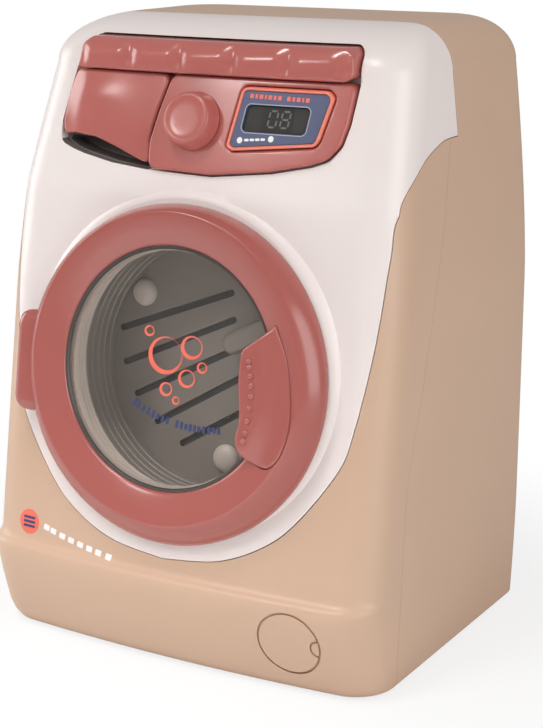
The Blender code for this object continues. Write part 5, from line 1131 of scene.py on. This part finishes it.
def build_drum():
    """Shallow drum: ridged wall, slotted disc, two round bosses and a lifter."""
    front = -9.3 * MM
    disc = front - 20.8 * MM + 2.5 * MM
    back = disc - 2.5 * MM
    lip = DRUM - 2.2 * MM
    floor_radius = lip - 3.3 * MM
    profile = [(0, disc), (floor_radius * 0.5, disc), (floor_radius, disc)]
    rise = (front - disc) / 6
    for k in range(6):
        r = floor_radius + 0.55 * MM * k
        profile += [(r, disc + rise * k + 0.3 * MM), (r + 0.1 * MM, disc + rise * (k + 1) - 0.6 * MM),
                    (r + 0.55 * MM, disc + rise * (k + 1) - 0.3 * MM)]
    profile += [(lip, front), (DRUM, front), (DRUM, back), (6 * MM, back)]
    deep = hub_depth()
    profile += [(6 * MM, deep), (2.85 * MM, deep), (2.85 * MM, back + GAP), (0, back + GAP)]
    drum = spun("drum_tray", profile, ROUND, face)
    lead = math.radians(27)
    along = Vector((math.cos(lead), math.sin(lead)))
    for x0, y0, x1, y1 in slot_ends:
        bar = pill((x0 * MM, y0 * MM), (x1 * MM, y1 * MM), 1.35 * MM)
        carve(drum, prism("slot", bar, "Z", disc - 1.9 * MM, front, face))
    finger = pill(Vector((11, 9.5)) * MM, Vector((11, 9.5)) * MM + along * 31 * MM, 4.4 * MM, 12)
    levels = [(disc - 1.2 * MM, 0), (disc + 7.2 * MM, 0.2 * MM), (disc + 8.3 * MM, 0.7 * MM),
              (disc + 8.8 * MM, 1.5 * MM), (disc + 9.0 * MM, 2.6 * MM)]
    lifter = loft("lifter", stacked(finger, levels, face))
    carve(drum, lifter, "UNION")
    for spot in boss_spots:
        cap = [(0, disc - 1 * MM), (5.4 * MM, disc - 1 * MM), (5.4 * MM, disc + 0.6 * MM),
               (5.0 * MM, disc + 1.5 * MM), (4.0 * MM, disc + 2.3 * MM), (2.4 * MM, disc + 2.8 * MM),
               (0, disc + 3.0 * MM)]
        place = (spot[0] * floor_radius, spot[1] * floor_radius)
        carve(drum, spun("boss", cap, 40, face, place), "UNION")
    polish(drum, 48)
    dress(drum, grey_pp, "drum", "grey_tub", "drum")
    away = face.inverted()

    # Faces inside the slots take the painted shade
    def in_shaded_slot(p, n):
        local = away @ p
        inside = math.hypot(local.x, local.y) < floor_radius - 1 * MM
        return inside and disc - 2.1 * MM < local.z < disc - 0.28 * MM

    def on_boss(p, n):
        local = away @ p
        near = any(math.hypot(local.x - x * floor_radius, local.y - y * floor_radius) < 5.5 * MM
                   for x, y in boss_spots)
        return near and local.z > disc + 0.1 * MM

    second_finish(drum, slot_painted_shade, in_shaded_slot)
    return second_finish(drum, boss_pp, on_boss)


def hub_depth():
    """Local height of the rear end of the drum's hub."""
    away = face.inverted()
    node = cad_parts["drum"]
    return min((away @ v.co).z for v in node.data.vertices)


# Small prints on the casing

def surface_print(name, outlines, lift, material, slot):
    """Thin prints laid on the casing's front skin."""
    made = [face_plate(f"{name}_{k}", outline, lift, -lift + 0.15 * MM, 0, pitch=4 * MM)
            for k, outline in enumerate(outlines)]
    piece = merged(name, made)
    return dress(piece, material, "casing", slot)


def build_prints():
    """Bars in the display's header, digits, and the row and disc on the lower front."""
    bars = []
    x = 20.0
    for wide in (1.4, 1.0, 1.4, 0.7, 1.4, 1.0, 1.4, 0, 1.4, 1.0, 1.4, 0.7, 1.4):
        if wide:
            z = 215.1 - 0.02 * (x - 20)
            bars.append([(x * MM, (z - 0.75) * MM), ((x + wide) * MM, (z - 0.75) * MM),
                         ((x + wide) * MM, (z + 0.75) * MM), (x * MM, (z + 0.75) * MM)])
        x += wide + 0.75 if wide else 1.5
    face_depth = BEZEL_PROUD - 0.5 * MM
    surface_print("display_bars", bars, face_depth + 0.06 * MM, coral_ink, "coral_trim")
    row = [ring_outline(18.6 * MM, 199.6 * MM, 1.1 * MM, 24),
           ring_outline(31.2 * MM, 200.7 * MM, 1.1 * MM, 24)]
    for k in range(4):
        start = ((20.9 + 2.2 * k) * MM, (199.8 + 0.19 * k) * MM)
        end = ((21.9 + 2.2 * k) * MM, (199.85 + 0.19 * k) * MM)
        row.append(pill(start, end, 0.45 * MM, 5))
    surface_print("display_dots", row, face_depth + 0.06 * MM, white_ink, "white_panel")
    border = face_plate("display_outline", shaped(glass_form, 2.4 * MM, 0.5 * MM), face_depth + 0.06 * MM,
                        -face_depth + 0.1 * MM, 0, holes=(shaped(glass_form, 2.1 * MM, 0.18 * MM),))
    dress(border, pale_ink, "casing", "light_grey")
    under = BEZEL_PROUD - 1.5 * MM
    lcd = face_plate("display_glass_face", shaped(glass_form, 1.9 * MM, -GAP / 4), under, 0.6 * MM, 0)
    dress(lcd, lcd_grey, "casing", "lcd")
    left, right, low, high = 25.6 * MM, 38.4 * MM, 203.3 * MM, 211.5 * MM
    field = [(left, low), (right, low), (right, high), (left, high)]
    surface_print("display_field", [field], under + 0.05 * MM, lcd_dark, "lcd")
    surface_print("display_digits", digit_outlines(), under + 0.1 * MM, lcd_segment, "lcd")
    badge_x, badge_z = -64.6, 46.2
    disc = [ring_outline(badge_x * MM, badge_z * MM, 4.9 * MM, 64)]
    surface_print("badge_disc", disc, 0.08 * MM, coral_ink, "coral_trim")
    wave = [pill(((badge_x - 2.5) * MM, (badge_z + 1.7 - 1.7 * k) * MM),
                 ((badge_x + 2.5) * MM, (badge_z + 1.7 - 1.7 * k) * MM), 0.5 * MM, 6) for k in range(3)]
    surface_print("badge_bars", wave, 0.16 * MM, navy_ink, "navy_plate")
    dashes = []
    path = curve_through([(-57.0, 45.9), (-49, 44.0), (-40, 42.3), (-31, 40.9), (-22, 39.8)], 6)
    for k in range(0, len(path) - 1, 3):
        ahead = (path[k + 1] - path[k]).normalized()
        across = Vector((-ahead.y, ahead.x))
        corners = [path[k] + ahead * a + across * b
                   for a, b in ((0, -1.1), (2.9, -1.1), (2.9, 1.1), (0, 1.1))]
        dashes.append([(c.x * MM, c.y * MM) for c in rounded(corners, 0.5, 4)])
    surface_print("front_dashes", dashes, 0.08 * MM, white_ink, "white_panel")


def digit_outlines():
    """Plain seven-segment digits, a nought and an eight."""
    outlines = []
    for left, lit in ((28.2, "abcdef"), (33.2, "abcdefg")):
        low, wide, tall = 204.6, 3.2, 5.6
        right, high, middle = left + wide, low + tall, low + tall / 2
        rows = {"a": (left, high, right, high), "g": (left, middle, right, middle),
                "d": (left, low, right, low), "f": (left, middle, left, high),
                "b": (right, middle, right, high), "e": (left, low, left, middle),
                "c": (right, low, right, middle)}
        for name in lit:
            x0, z0, x1, z1 = rows[name]
            way = Vector((x1 - x0, z1 - z0)).normalized()
            side = Vector((-way.y, way.x)) * 0.34
            a, b = Vector((x0, z0)) + way * 0.35, Vector((x1, z1)) - way * 0.35
            step = way * 0.34
            spots = [a, a + step + side, b - step + side, b, b - step - side, a + step - side]
            outlines.append([((p.x + 0.1 * (p.y - low)) * MM, p.y * MM) for p in spots])
    return outlines


# Floor, lights and camera

def stage():
    """A pale paper floor that carries the soft shadow; straight white where the camera looks past it."""
    bpy.ops.object.select_all(action="DESELECT")
    bpy.ops.mesh.primitive_circle_add(vertices=96, radius=4.0, fill_type="NGON", location=(0, 0, 0))
    floor = bpy.context.object
    floor.name = "studio_floor"
    material, tree, end, place = blank("pale_paper_floor")
    fibre = add_node(tree, "ShaderNodeTexNoise", {"Vector": place, "Scale": 40.0, "Detail": 3.0})
    tint = add_node(tree, "ShaderNodeMapRange", {"Value": fibre.outputs["Fac"], "To Min": 0.85,
                                                 "To Max": 0.86})
    paper = add_node(tree, "ShaderNodeBsdfDiffuse", {"Color": tint.outputs["Result"]})
    # Far from the toy the paper gives way to plain white, seen directly
    far = add_node(tree, "ShaderNodeVectorMath", {0: place}, operation="LENGTH")
    fade = add_node(tree, "ShaderNodeMapRange", {"Value": far.outputs["Value"], "From Min": 0.11,
                                                 "From Max": 0.26}, interpolation_type="SMOOTHSTEP")
    rays = add_node(tree, "ShaderNodeLightPath")
    seen = add_node(tree, "ShaderNodeMath", {0: rays.outputs["Is Camera Ray"],
                                             1: rays.outputs["Is Transmission Ray"]}, operation="MAXIMUM")
    lifted = add_node(tree, "ShaderNodeMapRange", {"Value": fade.outputs["Result"], "To Min": 0.78})
    share = add_node(tree, "ShaderNodeMath", {0: lifted.outputs["Result"], 1: seen.outputs["Value"]},
                     operation="MULTIPLY")
    white = add_node(tree, "ShaderNodeEmission", {"Color": (1, 1, 1, 1), "Strength": 1.0})
    mix = add_node(tree, "ShaderNodeMixShader", {0: share.outputs["Value"], 1: paper.outputs["BSDF"],
                                                 2: white.outputs["Emission"]})
    tree.links.new(mix.outputs["Shader"], end.inputs["Surface"])
    floor.data.materials.append(material)
    return floor


def soft_world(strength):
    """Plain white surroundings: full white to the camera, softer as a light."""
    world = bpy.data.worlds.new("studio_white")
    bpy.context.scene.world = world
    world.use_nodes = True
    tree = world.node_tree
    tree.nodes.clear()
    end = add_node(tree, "ShaderNodeOutputWorld")
    rays = add_node(tree, "ShaderNodeLightPath")
    seen = add_node(tree, "ShaderNodeMath", {0: rays.outputs["Is Camera Ray"],
                                             1: rays.outputs["Is Transmission Ray"]}, operation="MAXIMUM")
    level = add_node(tree, "ShaderNodeMapRange", {"Value": seen.outputs["Value"], "To Min": strength,
                                                  "To Max": 1.0})
    back = add_node(tree, "ShaderNodeBackground", {"Color": (1, 1, 1, 1),
                                                   "Strength": level.outputs["Result"]})
    tree.links.new(back.outputs["Background"], end.inputs["Surface"])


def softbox(name, spot, aim, size, power, spread=180):
    """A square lamp that looks at a point."""
    lamp = bpy.data.lights.new(name, "AREA")
    lamp.shape = "RECTANGLE"
    lamp.size, lamp.size_y = size
    lamp.energy = power
    lamp.spread = math.radians(spread)
    obj = bpy.data.objects.new(name, lamp)
    bpy.context.scene.collection.objects.link(obj)
    obj.location = spot
    obj.rotation_mode = "QUATERNION"
    obj.rotation_quaternion = (Vector(aim) - Vector(spot)).to_track_quat("-Z", "Y")
    return obj


def photo_camera():
    """The camera at the photograph's view."""
    data = bpy.data.cameras.new("photo_camera")
    data.sensor_width = SENSOR
    data.lens = SENSOR * FOCAL_PIXELS / PHOTO_PIXELS
    data.clip_start = 0.01
    cam = bpy.data.objects.new("photo_camera", data)
    bpy.context.scene.collection.objects.link(cam)
    cam.location = (353.8 * MM, -593.1 * MM, 287.6 * MM)
    turn, tip = math.radians(30.3), math.radians(14.9)
    way = Vector((-math.sin(turn) * math.cos(tip), math.cos(turn) * math.cos(tip), -math.sin(tip)))
    cam.rotation_mode = "QUATERNION"
    cam.rotation_quaternion = way.to_track_quat("-Z", "Y")
    bpy.context.scene.camera = cam


build_rear_shell()
build_front_shell()
build_front_panel()
build_controls()
build_knob()
build_drawer()
build_door_ring()
build_handle()
build_window()
build_window_print()
build_mouth_ring()
build_drum()
build_prints()

scene = bpy.context.scene
scene.view_settings.view_transform = "Standard"
stage()
soft_world(0.36)
middle = (0, 0, 0.12)
softbox("key_softbox", (-0.42, -0.72, 0.72), middle, (0.14, 0.2), 1.4)
softbox("top_softbox", (-0.1, -0.4, 1.0), middle, (0.16, 0.16), 2.3)
softbox("right_softbox", (0.95, -0.3, 0.42), middle, (0.5, 0.8), 4.2)
softbox("left_softbox", (-1.0, -0.15, 0.35), middle, (0.4, 0.6), 3.2)
softbox("floor_softbox", (-0.05, -0.42, 0.5), (-0.05, -0.36, 0), (0.3, 0.2), 0.7, 80)
photo_camera()
